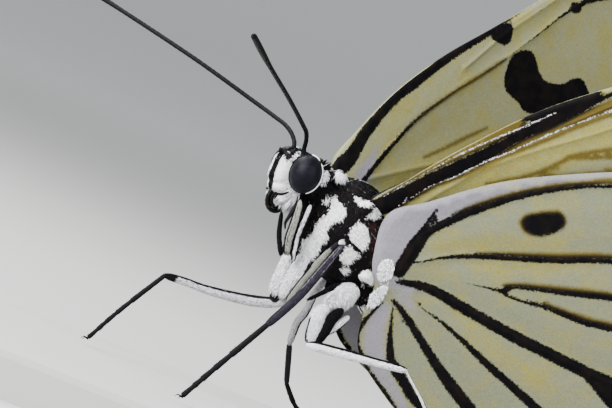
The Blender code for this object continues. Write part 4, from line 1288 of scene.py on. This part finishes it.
def sow(points, normals, quads, density):
    """Random roots on the hide, with a density per square millimetre from a function of X."""
    a, b, c, d = (points[quads[:, k]] for k in range(4))
    area = 0.5 * np.linalg.norm(np.cross(c - a, d - b), axis=1)
    middle = (a + b + c + d) / 4
    wanted = RNG.poisson(area * density(middle[:, 0]))
    picks = np.repeat(np.arange(len(quads)), wanted)
    s = RNG.random(len(picks))[:, None]
    t = RNG.random(len(picks))[:, None]
    roots = ((1 - s) * (1 - t) * a[picks] + s * (1 - t) * b[picks] + s * t * c[picks]
             + (1 - s) * t * d[picks])
    return roots, unit(sum(normals[quads[picks, k]] for k in range(4)))


def flow_at(points):
    """Lie of the coat: tailwards and down the flanks, down the face, back over the crown."""
    x, y, z = points.T
    steep = blend_step(13.0, 16.5, z)[:, None]
    flow = np.array((-0.9, 0.0, -0.55)) * (1 - steep) + np.array((-0.6, 0.0, -1.0)) * steep
    flow[:, 1] += 0.15 * np.sign(y)
    face = (x > FACE)[:, None]
    flow = np.where(face, np.array((0.1, 0.0, -1.0)), flow)
    crown = ((z > 18.0) & (x > -12))[:, None]
    flow = np.where(crown, np.array((-0.8, 0.0, 0.35)), flow)
    tail = (x < WAIST)[:, None]
    return np.where(tail, np.array((-1.0, 0.0, -0.3)), flow)


def near_eye(points, grow):
    """True for points inside an eye grown by so much."""
    out = np.zeros(len(points), bool)
    for side in (1, -1):
        centre = EYE_CENTRE * (1, side, 1)
        out |= (((points - centre) / (np.array(EYE_RADII) + grow)) ** 2).sum(1) < 1.0
    return out


def crown_height(x, y):
    """Height of the hide over the head at a place seen from above."""
    round_part = 1.0 - ((x + 9.85) / 1.77) ** 2 - (y / 1.42) ** 2
    box_part = 1.0 - abs((x + 9.17) / 1.02) ** 4.5 - abs(y / 1.12) ** 4.5
    return max(17.2 + 1.37 * math.sqrt(max(0.0, round_part)),
               16.95 + 1.2 * max(0.0, box_part) ** 0.222)


def head_locks():
    """Locks that break the outline of the head: crown, top of the brow stripe, nape."""
    shape = Shape(*COAT_MARKS)
    spots = [(x + RNG.normal(0, 0.06), y) for x in (-8.35, -8.65, -9.0, -9.4, -9.75)
             for y in np.linspace(-1.0, 1.0, 8)]
    starts = np.array([(x, y, crown_height(x, y) - 0.04) for x, y in spots])
    rise = RNG.uniform(0.1, 0.26, len(spots)) * np.interp(starts[:, 0], (-9.0, -8.3), (1.0, 0.5))
    reach = np.stack([RNG.uniform(-0.16, 0.06, len(spots)),
                      RNG.normal(0, 0.06, len(spots)), rise], 1)
    locks(shape, starts, starts + reach, 9, 0.06, 0.04)
    pale = np.array([(x, y, crown_height(x, y) - 0.06) for x, y in
                     ((-8.5, 0.25), (-8.75, -0.25), (-9.05, -0.62), (-8.4, 0.6), (-9.0, 0.5))])
    locks(shape, pale, pale + (-0.12, 0.05, 0.12), 8, 0.045, 0.045, white=0.7)
    brow = np.array([(-8.2, y, 17.8) for y in np.linspace(-0.22, 0.22, 5)])
    locks(shape, brow, brow + (0.2, 0.0, 0.4), 12, 0.05, 0.06)
    nape = np.array([(-10.95, 0.8, 18.2), (-11.3, 0.75, 18.05), (-11.0, 0.1, 18.2),
                     (-11.35, 0.0, 18.1), (-11.1, -0.6, 18.15), (-11.4, -0.7, 18.0),
                     (-11.0, 1.15, 17.9), (-11.6, 0.4, 18.05)])
    reach = np.array([(-0.3, -0.15, 0.48), (-0.5, -0.3, 0.55), (-0.25, 0.0, 0.4),
                      (-0.45, 0.1, 0.5), (-0.3, 0.1, 0.45), (-0.45, 0.1, 0.5), (-0.4, 0.05, 0.3),
                      (-0.5, 0.0, 0.4)])
    locks(shape, nape, nape + reach, 16, 0.07, 0.055)
    return shape


def build_coat(points, normals, quads):
    """Scales over the whole hide, marked as it is, and the locks of the head."""
    material = coat_look("coat", dim=0.62)
    # Roots to the square millimetre, and the length and width of a scale
    parts = {
        "head_coat": (lambda x: (x > NECK) * 520.0, 0.21, 0.05),
        "thorax_coat": (lambda x: ((x <= NECK) & (x > WAIST)) * 240.0, 0.29, 0.068),
        "abdomen_coat": (lambda x: (x <= WAIST) * 110.0, 0.38, 0.09),
    }
    for name, (density, length, width) in parts.items():
        roots, lay = sow(points, normals, quads, density)
        keep = ~near_eye(roots, 0.03)
        roots, lay = roots[keep], lay[keep]
        count = len(roots)
        flow = flow_at(roots) + RNG.normal(0, 0.24, (count, 3))
        white = (white_marks(roots + RNG.normal(0, 0.03, (count, 3))) > 0).astype(float)
        pale_fleck = (white < 0.5) & (RNG.random(count) < 0.012)
        white = np.where(pale_fleck, RNG.uniform(0.1, 0.5, count), white)
        lengths = length * RNG.uniform(0.6, 1.3, count)
        lifts = np.radians(RNG.uniform(4, 17, count))
        shade = RNG.random(count)
        if name == "head_coat":
            y = roots[:, 1]
            combed = 0.5 + 0.5 * np.sin(y * 31 + 2 * np.sin(y * 13))
            shade = 0.45 * shade + 0.55 * combed
        widths = width * RNG.uniform(0.7, 1.2, count)
        red = red_marks(roots)
        white = np.where((red > 0.4) & (RNG.random(count) < 0.12), 0.13, white)
        red = red * (RNG.random(count) < 0.42)
        shape = Shape(*COAT_MARKS)
        shape.add_scales(roots, lay, flow, lengths, widths, lifts, coat_map(roots),
                         white=white, shade=shade, warm=warm_marks(roots) * white, red=red)
        shape.object(name, material, smooth=False)
    head_locks().object("head_locks", material)


WARM_SPOTS = ((-13.9, 12.75, 0.45), (-13.4, 17.2, 0.35))  # X, Z and radius


def warm_marks(points):
    """Yellow-tinged corners of some white patches."""
    out = np.zeros(len(points))
    for x, z, radius in WARM_SPOTS:
        gap = np.hypot(points[:, 0] - x, points[:, 2] - z)
        out = np.maximum(out, np.clip(1.4 - gap / radius, 0, 1))
    return out * 0.7


# Rings round an eye: first and last angle, radius and whiteness
ORBIT_ARCS = ((-60, 50, 0.052, 1.0), (62, 95, 0.052, 1.0), (225, 262, 0.02, 0.25))


def build_eyes():
    """Lenses, each with a thin dark ring and broken white arcs round it."""
    material = eye_look()
    rim_white = coat_look("orbit_scales", WHITE, 0.95)
    for side_name, side in SIDES:
        centre = EYE_CENTRE * (1, side, 1)
        shape = Shape()
        shape.add(*ellipsoid(centre, EYE_RADII, segments=72, rings=48))
        shape.object("eye_" + side_name + "_lens", material, ["eye_" + side_name])
        facing = unit(np.array((0.36, 0.93 * side, 0.03)))
        across = unit(np.cross((0.0, 0.0, 1.0), facing)) * side
        tall = np.cross(facing, across) * side
        tall = tall * np.sign(tall[2])
        turn = np.radians(np.linspace(0, 360, 73))[:-1]
        ring = Shape(*COAT_MARKS)
        arcs = [(turn, -0.2, 0.02, 0.05, 0.0)]
        arcs += [(np.radians(np.linspace(low, high, 40)), -0.22, 0.09, radius, white)
                 for low, high, radius, white in ORBIT_ARCS]
        for angles, offset, grow, radius, white in arcs:
            path = (centre + facing * offset
                    + across * ((EYE_RADII[0] + grow) * np.cos(angles))[:, None]
                    + tall * ((EYE_RADII[2] + grow) * np.sin(angles))[:, None])
            if white == 0.0:
                path = np.vstack([path, path[:2]])
            thick = radius * np.sqrt(np.sin(np.linspace(0.25, math.pi - 0.25, len(path))))
            ring.add_tube(path, thick if white else radius, 8, facing, white=white, shade=0.8)
        ring.object("orbit_" + side_name, rim_white)


ANTENNA_PATH = {
    "left": [(-9.6, 0.64, 17.9), (-9.35, 0.64, 18.7), (-9.07, 1.0, 19.3), (-8.55, 1.6, 19.82),
             (-7.8, 2.4, 20.15), (-6.5, 4.0, 20.6), (-3.3, 8.1, 21.6), (1.6, 14.1, 23.1),
             (5.7, 19.4, 24.4)],
    "right": [(-9.3, -0.62, 17.8), (-9.16, -0.62, 18.55), (-9.13, -0.95, 18.93),
              (-8.91, -1.5, 19.35), (-8.6, -2.3, 19.66), (-8.1, -3.2, 19.85), (-6.9, -4.6, 20.2),
              (-2.55, -8.1, 21.3), (3.1, -14.1, 22.5), (7.0, -18.3, 23.2)],
}


def build_antennae():
    """Jointed shafts that thicken into a slender club."""
    material = horn_look("antenna_chitin")
    for side_name, control in ANTENNA_PATH.items():
        path = even_path(control, 0.08)
        t = np.linspace(0, 1, len(path))
        club = np.clip((t - 0.7) / 0.3, 0, 1)
        radii = 0.155 + 0.06 * np.sin(math.pi * club * 0.8) + 0.05 * np.exp(-(t / 0.02) ** 2)
        radii = radii * (1 - 0.6 * blend_step(0.985, 1.0, t))
        joint = (t * len(path) * 0.08 / 0.42) % 1.0
        radii = radii * (1 + 0.09 * (joint - 0.5))
        name = "antenna_" + side_name
        Shape().add_tube(path, radii, 14).object(name + "_shaft", material, [name])


PALP_BODY = [(-10.0, 0.88, 15.95), (-9.88, 0.93, 15.45), (-9.75, 0.93, 15.0), (-9.65, 0.9, 14.75)]
PALP_CLEFT = [(-8.62, 0.8, 15.2), (-8.78, 1.02, 15.2), (-8.98, 1.18, 15.3), (-9.3, 1.3, 15.62)]
# Where the fan of a palp's locks starts and ends, in X and Z
PALP_HIGH = [(-9.4, 15.83), (-9.81, 15.87), (-10.25, 15.68)]
PALP_LOW = [(-8.77, 14.76), (-8.9, 14.5), (-9.53, 14.22), (-10.02, 14.22), (-10.22, 14.7)]
PALP_LOCKS = 130
LOCK_HAIRS = 22


def on_curve(points, share):
    """Places at a share of a smooth curve in two columns."""
    curve = smooth_path(points, 20)
    at = np.linspace(0, 1, len(curve))
    return np.stack([np.interp(share, at, curve[:, k]) for k in (0, 1)], 1)


def build_palps():
    """Palps: a white body combed with locks of long scale hairs towards the tip."""
    material = coat_look("palp_scales", (0.84, 0.84, 0.88), 0.2)
    count = PALP_LOCKS
    for side_name, side in SIDES:
        path = even_path([(x, side * y, z) for x, y, z in PALP_BODY], 0.04)
        t = np.linspace(0, 1, len(path))
        radii = 0.27 * np.sin(math.pi * (0.25 + 0.6 * t)) ** 0.6
        shape = Shape(*COAT_MARKS)
        shape.add_tube(path, radii, 24, (0, side, 0), 1.5, uv=(0.02, 0.02), white=1.0, shade=0.2)
        cleft = even_path([(x, side * y, z) for x, y, z in PALP_CLEFT], 0.05)
        radii = 0.085 * np.sin(np.linspace(0.7, 2.6, len(cleft)))
        shape.add_tube(cleft, radii, 10, uv=(0.02, 0.02), white=0.0, shade=0.2)
        fan = RNG.random(count)
        start = np.sort(RNG.uniform(0.0, 0.55, count))[::-1]
        high = on_curve(PALP_HIGH, fan)
        way = on_curve(PALP_LOW, fan) - high
        stop = np.minimum(1.0, start + RNG.uniform(0.5, 0.62, count))
        roots = high + way * start[:, None]
        tips = high + way * (stop * RNG.uniform(0.94, 1.04, count))[:, None]
        bulge = 0.3 * np.sqrt(np.clip(1 - (2 * fan - 1) ** 2, 0.05, 1))
        bulge = bulge * RNG.choice((1.0, 1.0, -1.0), count)
        roots = np.stack([roots[:, 0], side * (0.92 + bulge), roots[:, 1]], 1)
        tips = np.stack([tips[:, 0], side * (0.92 + bulge * (1.25 - 0.6 * stop)), tips[:, 1]], 1)
        # Each lock takes a random tone; the darkest locks stand in for the grey grooves between
        # locks: painted shade.
        tone = np.repeat(RNG.choice((0.15, 0.75, 0.95, 1.0), count), LOCK_HAIRS)
        locks(shape, roots, tips, LOCK_HAIRS, 0.055, 0.042, white=1.0,
              shade=np.clip(tone + RNG.normal(0, 0.15, len(tone)), 0, 1))
        shape.object("palp_" + side_name + "_plume", material, ["palp_" + side_name])


def build_tongue():
    """Proboscis: from under the face it rolls up into a flat coil between the palps."""
    centre = np.array((-9.37, 0.0, 14.76))
    t = np.linspace(0, 1, 190)
    turn = math.radians(105.0) + 2 * math.pi * 2.2 * t
    radius = 0.8 - 0.58 * t
    path = centre + np.stack([-radius * np.cos(turn), 0.06 * t, 1.16 * radius * np.sin(turn)], 1)
    lead = even_path([(-9.3, 0.0, 16.3), (-9.2, 0.0, 15.9), tuple(path[0])], 0.05)
    path = np.vstack([lead[:-1], path])
    radii = np.interp(np.linspace(0, 1, len(path)), [0, 0.6, 1], [0.17, 0.15, 0.09])
    radii = radii * (1 + 0.05 * np.sin(np.arange(len(path)) * 1.3))
    Shape().add_tube(path, radii, 14, (0, 1, 0)).object("tongue", tongue_look(), ["proboscis"])


# Ankle, toe and foot of each leg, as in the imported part
LEG_FEET = {
    "midleg_left": [(-9.39, 6.6, 7.0), (-7.2, 7.0, 3.4), (-5.5, 7.3, 0.55)],
    "midleg_right": [(-7.06, -7.0, 6.6), (-5.2, -7.3, 3.25), (-3.88, -7.5, 0.55)],
    "hindleg_left": [(-20.0, 7.2, 7.8), (-23.0, 7.6, 5.2), (-25.4, 8.4, 0.55)],
    "hindleg_right": [(-20.3, -9.6, 2.6), (-22.4, -11.0, 1.2), (-24.6, -12.2, 0.55)],
}
# Radius of each foot, and how pale it is
FOOT_LOOK = {"midleg_left": (0.24, 0.0), "midleg_right": (0.2, 0.0),
             "hindleg_left": (0.13, 0.8), "hindleg_right": (0.2, 0.0)}
SCALE_CLEAR = 0.025  # height of the limbs' scale roots over the shank
LIMB_MARKS = ("dark", "olive", "dusk", "mottle", "shade")
LIMB_FRONT = np.array((0.4, 0.9, 0.0))  # turn 0 round a limb
# Hair of the limbs: length, width, highest lift in degrees
SLEEK = (0.17, 0.055, 8.0)
SMOOTH = (0.26, 0.06, 14.0)
LOOSE = (0.24, 0.06, 16.0)
RAGGED = (0.34, 0.07, 24.0)
SHAGGY = (0.42, 0.09, 34.0)
FINE = (0.1, 0.03, 8.0)


class Tone:
    """Colours of a length of leg: a ground, and lines at an angle round it.

    A line is (angle, half width, share where it starts, share where it ends, how dark)."""

    def __init__(self, dark=0.0, olive=0.0, dusk=0.0, mottle=0.0, speck=0.02, lines=()):
        self.ground = (dark, olive, dusk, mottle)
        self.speck = speck
        self.lines = lines

    def marks(self, share, turn):
        dark, olive, dusk, mottle = (np.full(len(share), value) for value in self.ground)
        for angle, half, start, end, value in self.lines:
            on = blend_step(-0.08, 0.08, np.cos(turn - angle) - math.cos(half))
            on = on * (share >= start) * (share <= end)
            dark = dark * (1 - on) + value * on
        return {"dark": dark, "olive": olive, "dusk": dusk, "mottle": mottle}


class Limb:
    """The shanks of one leg and the scales that cover them."""

    def __init__(self):
        self.body = Shape(*LIMB_MARKS)
        self.coat = Shape(*LIMB_MARKS)
        self.lengths = 0  # so far, each with its own strip of the unwrap

    def length(self, joints, radii, tone, hair=SLEEK, density=230.0, comb=(0.0, 0.0, 0.0)):
        """One length of leg, with so many scales to the square millimetre."""
        path = even_path(joints, 0.12)
        t = np.linspace(0, 1, len(path))
        radius = np.interp(t, np.linspace(0, 1, len(radii)), radii)
        radius = radius * np.sqrt(np.clip(1 - np.abs(2 * t - 1) ** 14, 0.25, 1))
        body, faces, ends, share, turn = tube(path, radius, 20, LIMB_FRONT)
        self.body.add(body, faces, ends, shade=RNG.uniform(0.2, 0.8, len(body)),
                      **tone.marks(share, turn))
        self.cover(path, radius, tone, hair, density, comb)
        return path, radius

    def cover(self, path, radius, tone, hair, density, comb):
        """Scales at random places round and along one length."""
        along = unit(np.gradient(path, axis=0))
        run = np.linalg.norm(np.diff(path, axis=0), axis=1).sum()
        count = int(density * run * math.pi * radius.mean() * 2)
        share = RNG.random(count)
        where = share * (len(path) - 1)
        low = np.minimum(where.astype(int), len(path) - 2)
        part = (where - low)[:, None]
        centre = path[low] * (1 - part) + path[low + 1] * part
        size = (radius[low] * (1 - part[:, 0]) + radius[low + 1] * part[:, 0])[:, None]
        heading = along[low]
        turn = RNG.uniform(0, 2 * math.pi, count)
        top = unit(LIMB_FRONT - heading * (heading @ LIMB_FRONT)[:, None])
        outward = top * np.cos(turn)[:, None] + np.cross(heading, top) * np.sin(turn)[:, None]
        roots = centre + outward * (size + SCALE_CLEAR)
        flow = heading + np.asarray(comb, float) + RNG.normal(0, 0.18, (count, 3))
        lengths = hair[0] * RNG.uniform(0.6, 1.3, count)
        widths = hair[1] * RNG.uniform(0.7, 1.2, count)
        lifts = np.radians(RNG.uniform(2.0, hair[2], count))
        marks = tone.marks(share, turn)
        marks["dark"] = ((marks["dark"] + RNG.normal(0, 0.1, count) > 0.5)
                         | (RNG.random(count) < tone.speck)).astype(float)
        across = (self.lengths + 0.1 + 0.8 * turn / (2 * math.pi)) / 6
        self.coat.add_scales(roots, outward, flow, lengths, widths, lifts,
                             np.stack([across, 0.03 + 0.9 * share], 1),
                             shade=RNG.random(count), **marks)
        self.lengths += 1

    def finish(self, name, material, parts):
        self.body.object(name + "_shanks", material, [name + "_" + part for part in parts])
        self.coat.object(name + "_scales", material, smooth=False)


def bristles(shape, path, radius, count, length, width):
    """Short dark spines along a length of leg, leaning towards the foot."""
    pick = RNG.integers(2, len(path) - 2, count)
    along = unit(np.gradient(path, axis=0))[pick]
    turn = RNG.uniform(0, 2 * math.pi, count)
    top = unit(LEVEL_AXES[2] - along * (along @ LEVEL_AXES[2])[:, None])
    outward = unit(top * np.cos(turn)[:, None] + np.cross(along, top) * np.sin(turn)[:, None])
    roots = path[pick] + outward * radius[pick][:, None] * 0.95
    hairs, quads, tris = blades(roots, outward, along, length * RNG.uniform(0.7, 1.2, count),
                                np.full(count, width), RNG.uniform(0.6, 1.0, count) * 0.7, 0.5)
    shape.add(hairs, quads, tris, dark=1.0, shade=0.3)


def claws(shape, foot, heading):
    """The pair of curved claws at the end of a foot."""
    heading = unit(np.array(heading, float) * (1, 1, 0))
    across = np.cross((0, 0, 1.0), heading)
    for sign in (1, -1):
        start = np.array(foot) + across * sign * 0.08
        path = even_path([start, start + heading * 0.25 + across * sign * 0.12 + (0, 0, 0.05),
                          start + heading * 0.42 + across * sign * 0.16 + (0, 0, -0.14)], 0.05)
        shape.add_tube(path, np.linspace(0.07, 0.015, len(path)), 8, dark=1.0)


def tarsus(shape, joints, radius, pale):
    """Five joints of the foot, each widest at its far end, with spines and claws."""
    path = even_path(joints, 0.07)
    t = np.linspace(0, 1, len(path))
    joints_at = np.array([0.0, 0.42, 0.62, 0.76, 0.87, 1.0])
    local = np.interp(t, joints_at, np.arange(6.0)) % 1.0
    radii = radius * (0.82 + 0.22 * local) * np.interp(t, [0, 1], [1.0, 0.82])
    body, faces, ends, _, turn = tube(path, radii, 14, LIMB_FRONT)
    edges = np.clip(0.5 + (np.abs(np.sin(turn)) - 0.8) * 5, 0, 1)
    shape.add(body, faces, ends, dark=1.0 - pale * (1 - edges), olive=0.3 * pale, shade=0.3)
    bristles(shape, path, radii, 110, 0.2, 0.035)
    claws(shape, path[-1] + (0, 0, -0.1), path[-1] - path[-8])


def edge_lines(half):
    """A dark line down each side of a limb as it is seen from in front of the flank."""
    return [(math.pi / 2, half, 0.0, 1.0, 1.0), (-math.pi / 2, half, 0.0, 1.0, 1.0)]


# Lengths of each leg from breast to ankle, outlined as in the photo: joints, radii, tone, and
# where they aren't the usual ones hair, density and comb. The tibia, with the spines, is last.
COXA_TONE = Tone(lines=[(-1.5, 0.72, 0.1, 1.0, 1.0)])
BLACK_TONE = Tone(dark=1.0)
BAND_TONE = Tone(dark=1.0, speck=0.0)
LEG_LENGTHS = {
    "midleg_left": [
        ([(-12.6, 1.0, 12.3), (-12.5, 1.1, 11.3), (-12.3, 1.25, 10.2), (-12.1, 1.35, 8.95)],
         [0.42, 0.56, 0.5, 0.26], COXA_TONE, RAGGED, 260.0),
        ([(-12.4, 1.65, 8.75), (-12.29, 2.6, 10.13), (-12.15, 4.0, 11.8), (-12.25, 4.9, 13.25)],
         [0.22, 0.25, 0.24, 0.2],
         Tone(olive=1.0, speck=0.015, lines=[(-1.57, 0.85, 0.0, 0.66, 1.0),
                                             (1.57, 0.75, 0.0, 1.0, 1.0)])),
        ([(-12.22, 4.85, 13.25), (-12.5, 5.15, 13.85)], [0.16, 0.17], Tone(dark=1.0, dusk=0.5)),
        ([(-12.5, 5.2, 13.85), (-12.68, 5.35, 14.1)], [0.18, 0.2],
         Tone(mottle=0.3, lines=[(0.9, 0.6, 0.0, 0.4, 1.0)])),
        ([(-12.62, 5.6, 13.9), (-12.0, 5.9, 12.45), (-11.22, 6.2, 10.5), (-10.54, 6.4, 9.04),
          LEG_FEET["midleg_left"][0]],
         [0.18, 0.26, 0.28, 0.28, 0.27],
         Tone(dark=1.0, dusk=1.0, mottle=0.95, olive=0.35, speck=0.2,
              lines=[(0.95, 0.2, 0.02, 0.55, 0.2), (-0.7, 0.13, 0.0, 0.34, 0.0),
                     (0.1, 0.1, 0.03, 0.16, 0.0)])),
    ],
    "midleg_right": [
        ([(-12.3, -0.6, 12.3), (-12.3, -0.8, 11.2), (-12.47, -1.0, 9.9), (-12.6, -1.2, 8.8)],
         [0.3, 0.42, 0.5, 0.44], COXA_TONE, RAGGED, 260.0),
        ([(-12.5, -1.2, 8.75), (-12.7, -1.25, 8.45), (-13.3, -2.2, 8.35)], [0.28, 0.3, 0.28],
         Tone(dark=1.0, dusk=0.3, speck=0.3)),
        ([(-12.75, -1.2, 8.8), (-15.9, -6.0, 8.4)], [0.3, 0.36, 0.3],
         Tone(mottle=0.6, olive=0.3)),
        ([(-15.9, -6.0, 8.1), (-13.6, -6.25, 7.35), (-10.5, -6.6, 6.85), (-8.6, -6.85, 6.75),
          LEG_FEET["midleg_right"][0]],
         [0.38, 0.4, 0.34, 0.27, 0.27],
         Tone(mottle=0.45, speck=0.12, lines=[(1.57, 0.95, 0.1, 0.92, 1.0),
                                              (1.2, 0.5, 0.3, 0.7, 0.7),
                                              (0.0, 3.2, 0.9, 1.0, 1.0)])),
    ],
    "hindleg_left": [
        ([(-16.4, 2.0, 11.5), (-16.1, 2.2, 10.95), (-15.65, 2.4, 10.25), (-14.95, 2.45, 9.6)],
         [0.5, 0.66, 0.64, 0.36], Tone(speck=0.01), SHAGGY, 260.0, (-1.3, 0.0, -0.5)),
        # The femur's dark line on its left side is painted shade between it and the far femur.
        ([(-14.82, 2.6, 9.4), (-14.31, 3.1, 8.75), (-14.01, 3.9, 8.23), (-13.61, 4.8, 7.64),
          (-13.3, 5.65, 6.95)], [0.5, 0.56, 0.52, 0.46, 0.32],
         Tone(speck=0.03, mottle=0.08, lines=[(1.57, 0.5, 0.35, 1.0, 0.8)]), SMOOTH),
        ([(-15.9, 2.8, 9.7), (-15.15, 3.5, 8.97), (-14.76, 4.2, 8.52), (-14.36, 4.9, 7.94),
          (-13.8, 5.7, 7.2)], [0.3, 0.36, 0.33, 0.3, 0.24], BAND_TONE, LOOSE),
        ([(-16.65, 2.6, 9.4), (-15.93, 3.4, 8.84), (-15.4, 4.0, 8.45), (-14.79, 4.7, 7.99)],
         [0.16, 0.24, 0.22, 0.1], Tone(speck=0.03, lines=[(-1.57, 0.7, 0.0, 1.0, 1.0)]), SMOOTH),
        ([(-16.4, 1.6, 11.9), (-15.34, 1.5, 10.91), (-14.51, 1.4, 9.99), (-13.97, 1.3, 9.38)],
         [0.36, 0.26, 0.13, 0.06], BAND_TONE, LOOSE),
        ([(-13.1, 5.8, 6.8), LEG_FEET["hindleg_left"][0]], [0.34, 0.34, 0.28, 0.26],
         Tone(mottle=0.12, speck=0.04, lines=[(-1.57, 0.95, 0.0, 1.0, 1.0)])),
    ],
    "hindleg_right": [
        # The far hind leg's coxa and femur are toned grey and olive: painted shade.
        ([(-16.2, -1.3, 12.2), (-16.0, -1.5, 11.2), (-15.8, -1.65, 10.4), (-15.6, -1.9, 9.4)],
         [0.26, 0.24, 0.22, 0.2], Tone(mottle=0.5, olive=0.4)),
        ([(-15.9, -2.1, 9.8), (-16.47, -3.6, 8.16), (-16.72, -4.6, 7.19), (-17.5, -6.0, 5.6)],
         [0.2, 0.27, 0.27, 0.22],
         Tone(mottle=0.7, olive=0.2, lines=[(-1.57, 0.9, 0.0, 0.8, 1.0)])),
        ([(-17.5, -6.0, 5.6), LEG_FEET["hindleg_right"][0]], [0.2, 0.2, 0.18],
         Tone(dark=1.0, dusk=0.4)),
    ],
}
# Forelegs, folded: the coxa from the breast down, and the femur from the knee down
FORELEG_LENGTHS = {
    "foreleg_left": [
        ([(-11.05, 1.65, 15.35), (-10.97, 1.85, 14.74), (-10.97, 1.9, 13.89),
          (-11.01, 1.95, 13.03), (-11.17, 1.95, 12.27), (-11.4, 1.9, 11.52)],
         [0.24, 0.23, 0.2, 0.18], Tone(mottle=0.45, speck=0.24, lines=edge_lines(0.95)),
         SLEEK, 320.0),
        ([(-10.15, 1.75, 15.4), (-10.28, 1.75, 14.93), (-10.38, 1.75, 14.28), (-10.5, 1.7, 13.45),
          (-10.6, 1.65, 12.71), (-10.94, 1.6, 11.7)],
         [0.24, 0.31, 0.32, 0.26],
         Tone(olive=0.9, mottle=0.6, speck=0.06,
              lines=edge_lines(0.8) + [(0.35, 0.12, 0.1, 1.0, 1.0), (-0.3, 0.08, 0.0, 0.5, 0.0)]),
         SLEEK, 320.0),
        ([(-9.94, 1.6, 15.58), (-10.05, 1.6, 14.85), (-9.94, 1.6, 14.08), (-9.88, 1.6, 13.62),
          (-10.05, 1.6, 13.2)], [0.04, 0.08, 0.15, 0.11, 0.05], BLACK_TONE, FINE),
    ],
    "foreleg_right": [
        ([(-12.1, -1.2, 15.6), (-12.1, -1.7, 11.6)], [0.19, 0.17, 0.15], BLACK_TONE),
        ([(-10.62, -1.3, 14.1), (-11.04, -1.2, 12.73), (-11.57, -1.2, 11.77),
          (-11.92, -1.3, 11.35)], [0.13, 0.17, 0.16], BLACK_TONE),
    ],
}


def build_legs():
    """Four walking legs with their feet, and the two folded forelegs."""
    material = limb_look("leg_scales")
    for name, lengths in {**LEG_LENGTHS, **FORELEG_LENGTHS}.items():
        limb = Limb()
        parts = ("coxa", "femur")
        for length in lengths:
            path, radius = limb.length(*length)
        if name in LEG_FEET:
            bristles(limb.body, path, radius, 60, 0.2, 0.03)
            tarsus(limb.body, LEG_FEET[name], *FOOT_LOOK[name])
            parts += ("tibia", "tarsus")
        limb.finish(name, material, parts)


def build_base():
    """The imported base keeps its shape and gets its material."""
    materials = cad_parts["stand_base"].data.materials
    materials.clear()
    materials.append(base_look())


# Stage and camera

PALER_FROM_TO = (0.15, 0.75)  # metres from the model over which the paper grows paler
FLOOR_REACH = 5000.0
COVE_START = 3200.0  # far enough for a view from behind to stand in front of the backdrop
COVE_RADIUS = 1000.0
WALL_TOP = 2600.0
WORLD_COLOUR = (0.95, 0.97, 1.0, 1.0)
WORLD_LIGHT = 0.56


def build_stage():
    """Pale floor that curves up far behind the model into a backdrop, and soft sky light."""
    away = -np.array((math.cos(math.radians(VIEW_TURN)), math.sin(math.radians(VIEW_TURN)), 0.0))
    side = np.array((-away[1], away[0], 0.0))
    profile = [(-FLOOR_REACH, 0.0)]
    for k in range(13):
        turn = math.pi / 2 * k / 12
        profile.append((COVE_START + COVE_RADIUS * math.sin(turn),
                        COVE_RADIUS * (1 - math.cos(turn))))
    profile.append((COVE_START + COVE_RADIUS, WALL_TOP))
    points = [(away * reach + side * half + LEVEL_AXES[2] * rise) * MM
              for reach, rise in profile for half in (-FLOOR_REACH, FLOOR_REACH)]
    faces = [(2 * k, 2 * k + 1, 2 * k + 3, 2 * k + 2) for k in range(len(profile) - 1)]
    mesh = bpy.data.meshes.new("backdrop")
    mesh.from_pydata(points, [], faces)
    mesh.shade_smooth()
    mesh.materials.append(paper_look())
    backdrop = bpy.data.objects.new("backdrop", mesh)
    bpy.context.scene.collection.objects.link(backdrop)
    world = bpy.data.worlds.new("studio")
    bpy.context.scene.world = world
    world.use_nodes = True
    sky = world.node_tree.nodes["Background"]
    sky.inputs[0].default_value = WORLD_COLOUR
    sky.inputs[1].default_value = WORLD_LIGHT


def soft_lamp(name, direction, distance, size, power, aim):
    """Round soft lamp of so many watts, in a direction from what it is aimed at."""
    lamp = bpy.data.lights.new(name, "AREA")
    lamp.shape = "DISK"
    lamp.size = size * MM
    lamp.energy = power
    obj = bpy.data.objects.new(name, lamp)
    bpy.context.scene.collection.objects.link(obj)
    spot = Vector(aim) + Vector(unit(direction)) * distance * MM
    obj.location = spot
    obj.rotation_mode = "QUATERNION"
    obj.rotation_quaternion = (Vector(aim) - spot).to_track_quat("-Z", "Y")


def build_camera():
    """Camera at the photo's angle and scale, and the lamps set round its view."""
    turn, rise, roll = (math.radians(v) for v in (VIEW_TURN, VIEW_RISE, VIEW_ROLL))
    back = np.array((math.cos(turn) * math.cos(rise), math.sin(turn) * math.cos(rise),
                     math.sin(rise)))
    level = np.array((-math.sin(turn), math.cos(turn), 0.0))
    upright = unit(np.cross(back, level))
    right = math.cos(roll) * level + math.sin(roll) * upright
    over = -math.sin(roll) * level + math.cos(roll) * upright
    off_x = EYE_PIXEL[0] - PICTURE[0] / 2
    off_y = EYE_PIXEL[1] - PICTURE[1] / 2
    spot = (EYE_CENTRE + SHIFT + back * VIEW_DISTANCE - right * off_x * MM_PER_PIXEL
            + over * off_y * MM_PER_PIXEL)
    data = bpy.data.cameras.new("camera")
    data.sensor_width = SENSOR
    data.lens = VIEW_DISTANCE / MM_PER_PIXEL / PICTURE[0] * SENSOR
    data.clip_start = 0.01
    data.clip_end = 10.0
    camera = bpy.data.objects.new("camera", data)
    bpy.context.scene.collection.objects.link(camera)
    axes = Matrix((right, over, back)).transposed().to_4x4()
    camera.matrix_world = Matrix.Translation(Vector(spot * MM)) @ axes
    bpy.context.scene.camera = camera
    aim = (EYE_CENTRE + SHIFT + np.array((-4.0, 0.0, -2.0))) * MM
    soft_lamp("key", back * 0.8 - right * 0.5 + over * 0.9, 260.0, 190.0, 3.3, aim)
    soft_lamp("fill", back * 0.8 + right * 0.9 + over * 0.1, 300.0, 240.0, 1.0, aim)
    soft_lamp("rim", -back * 0.5 + over * 1.0 - right * 0.2, 260.0, 160.0, 1.2, aim)


build_base()
skin = build_skin()
build_coat(*skin)
build_eyes()
build_antennae()
build_palps()
build_tongue()
build_wings()
build_legs()
build_stage()
build_camera()
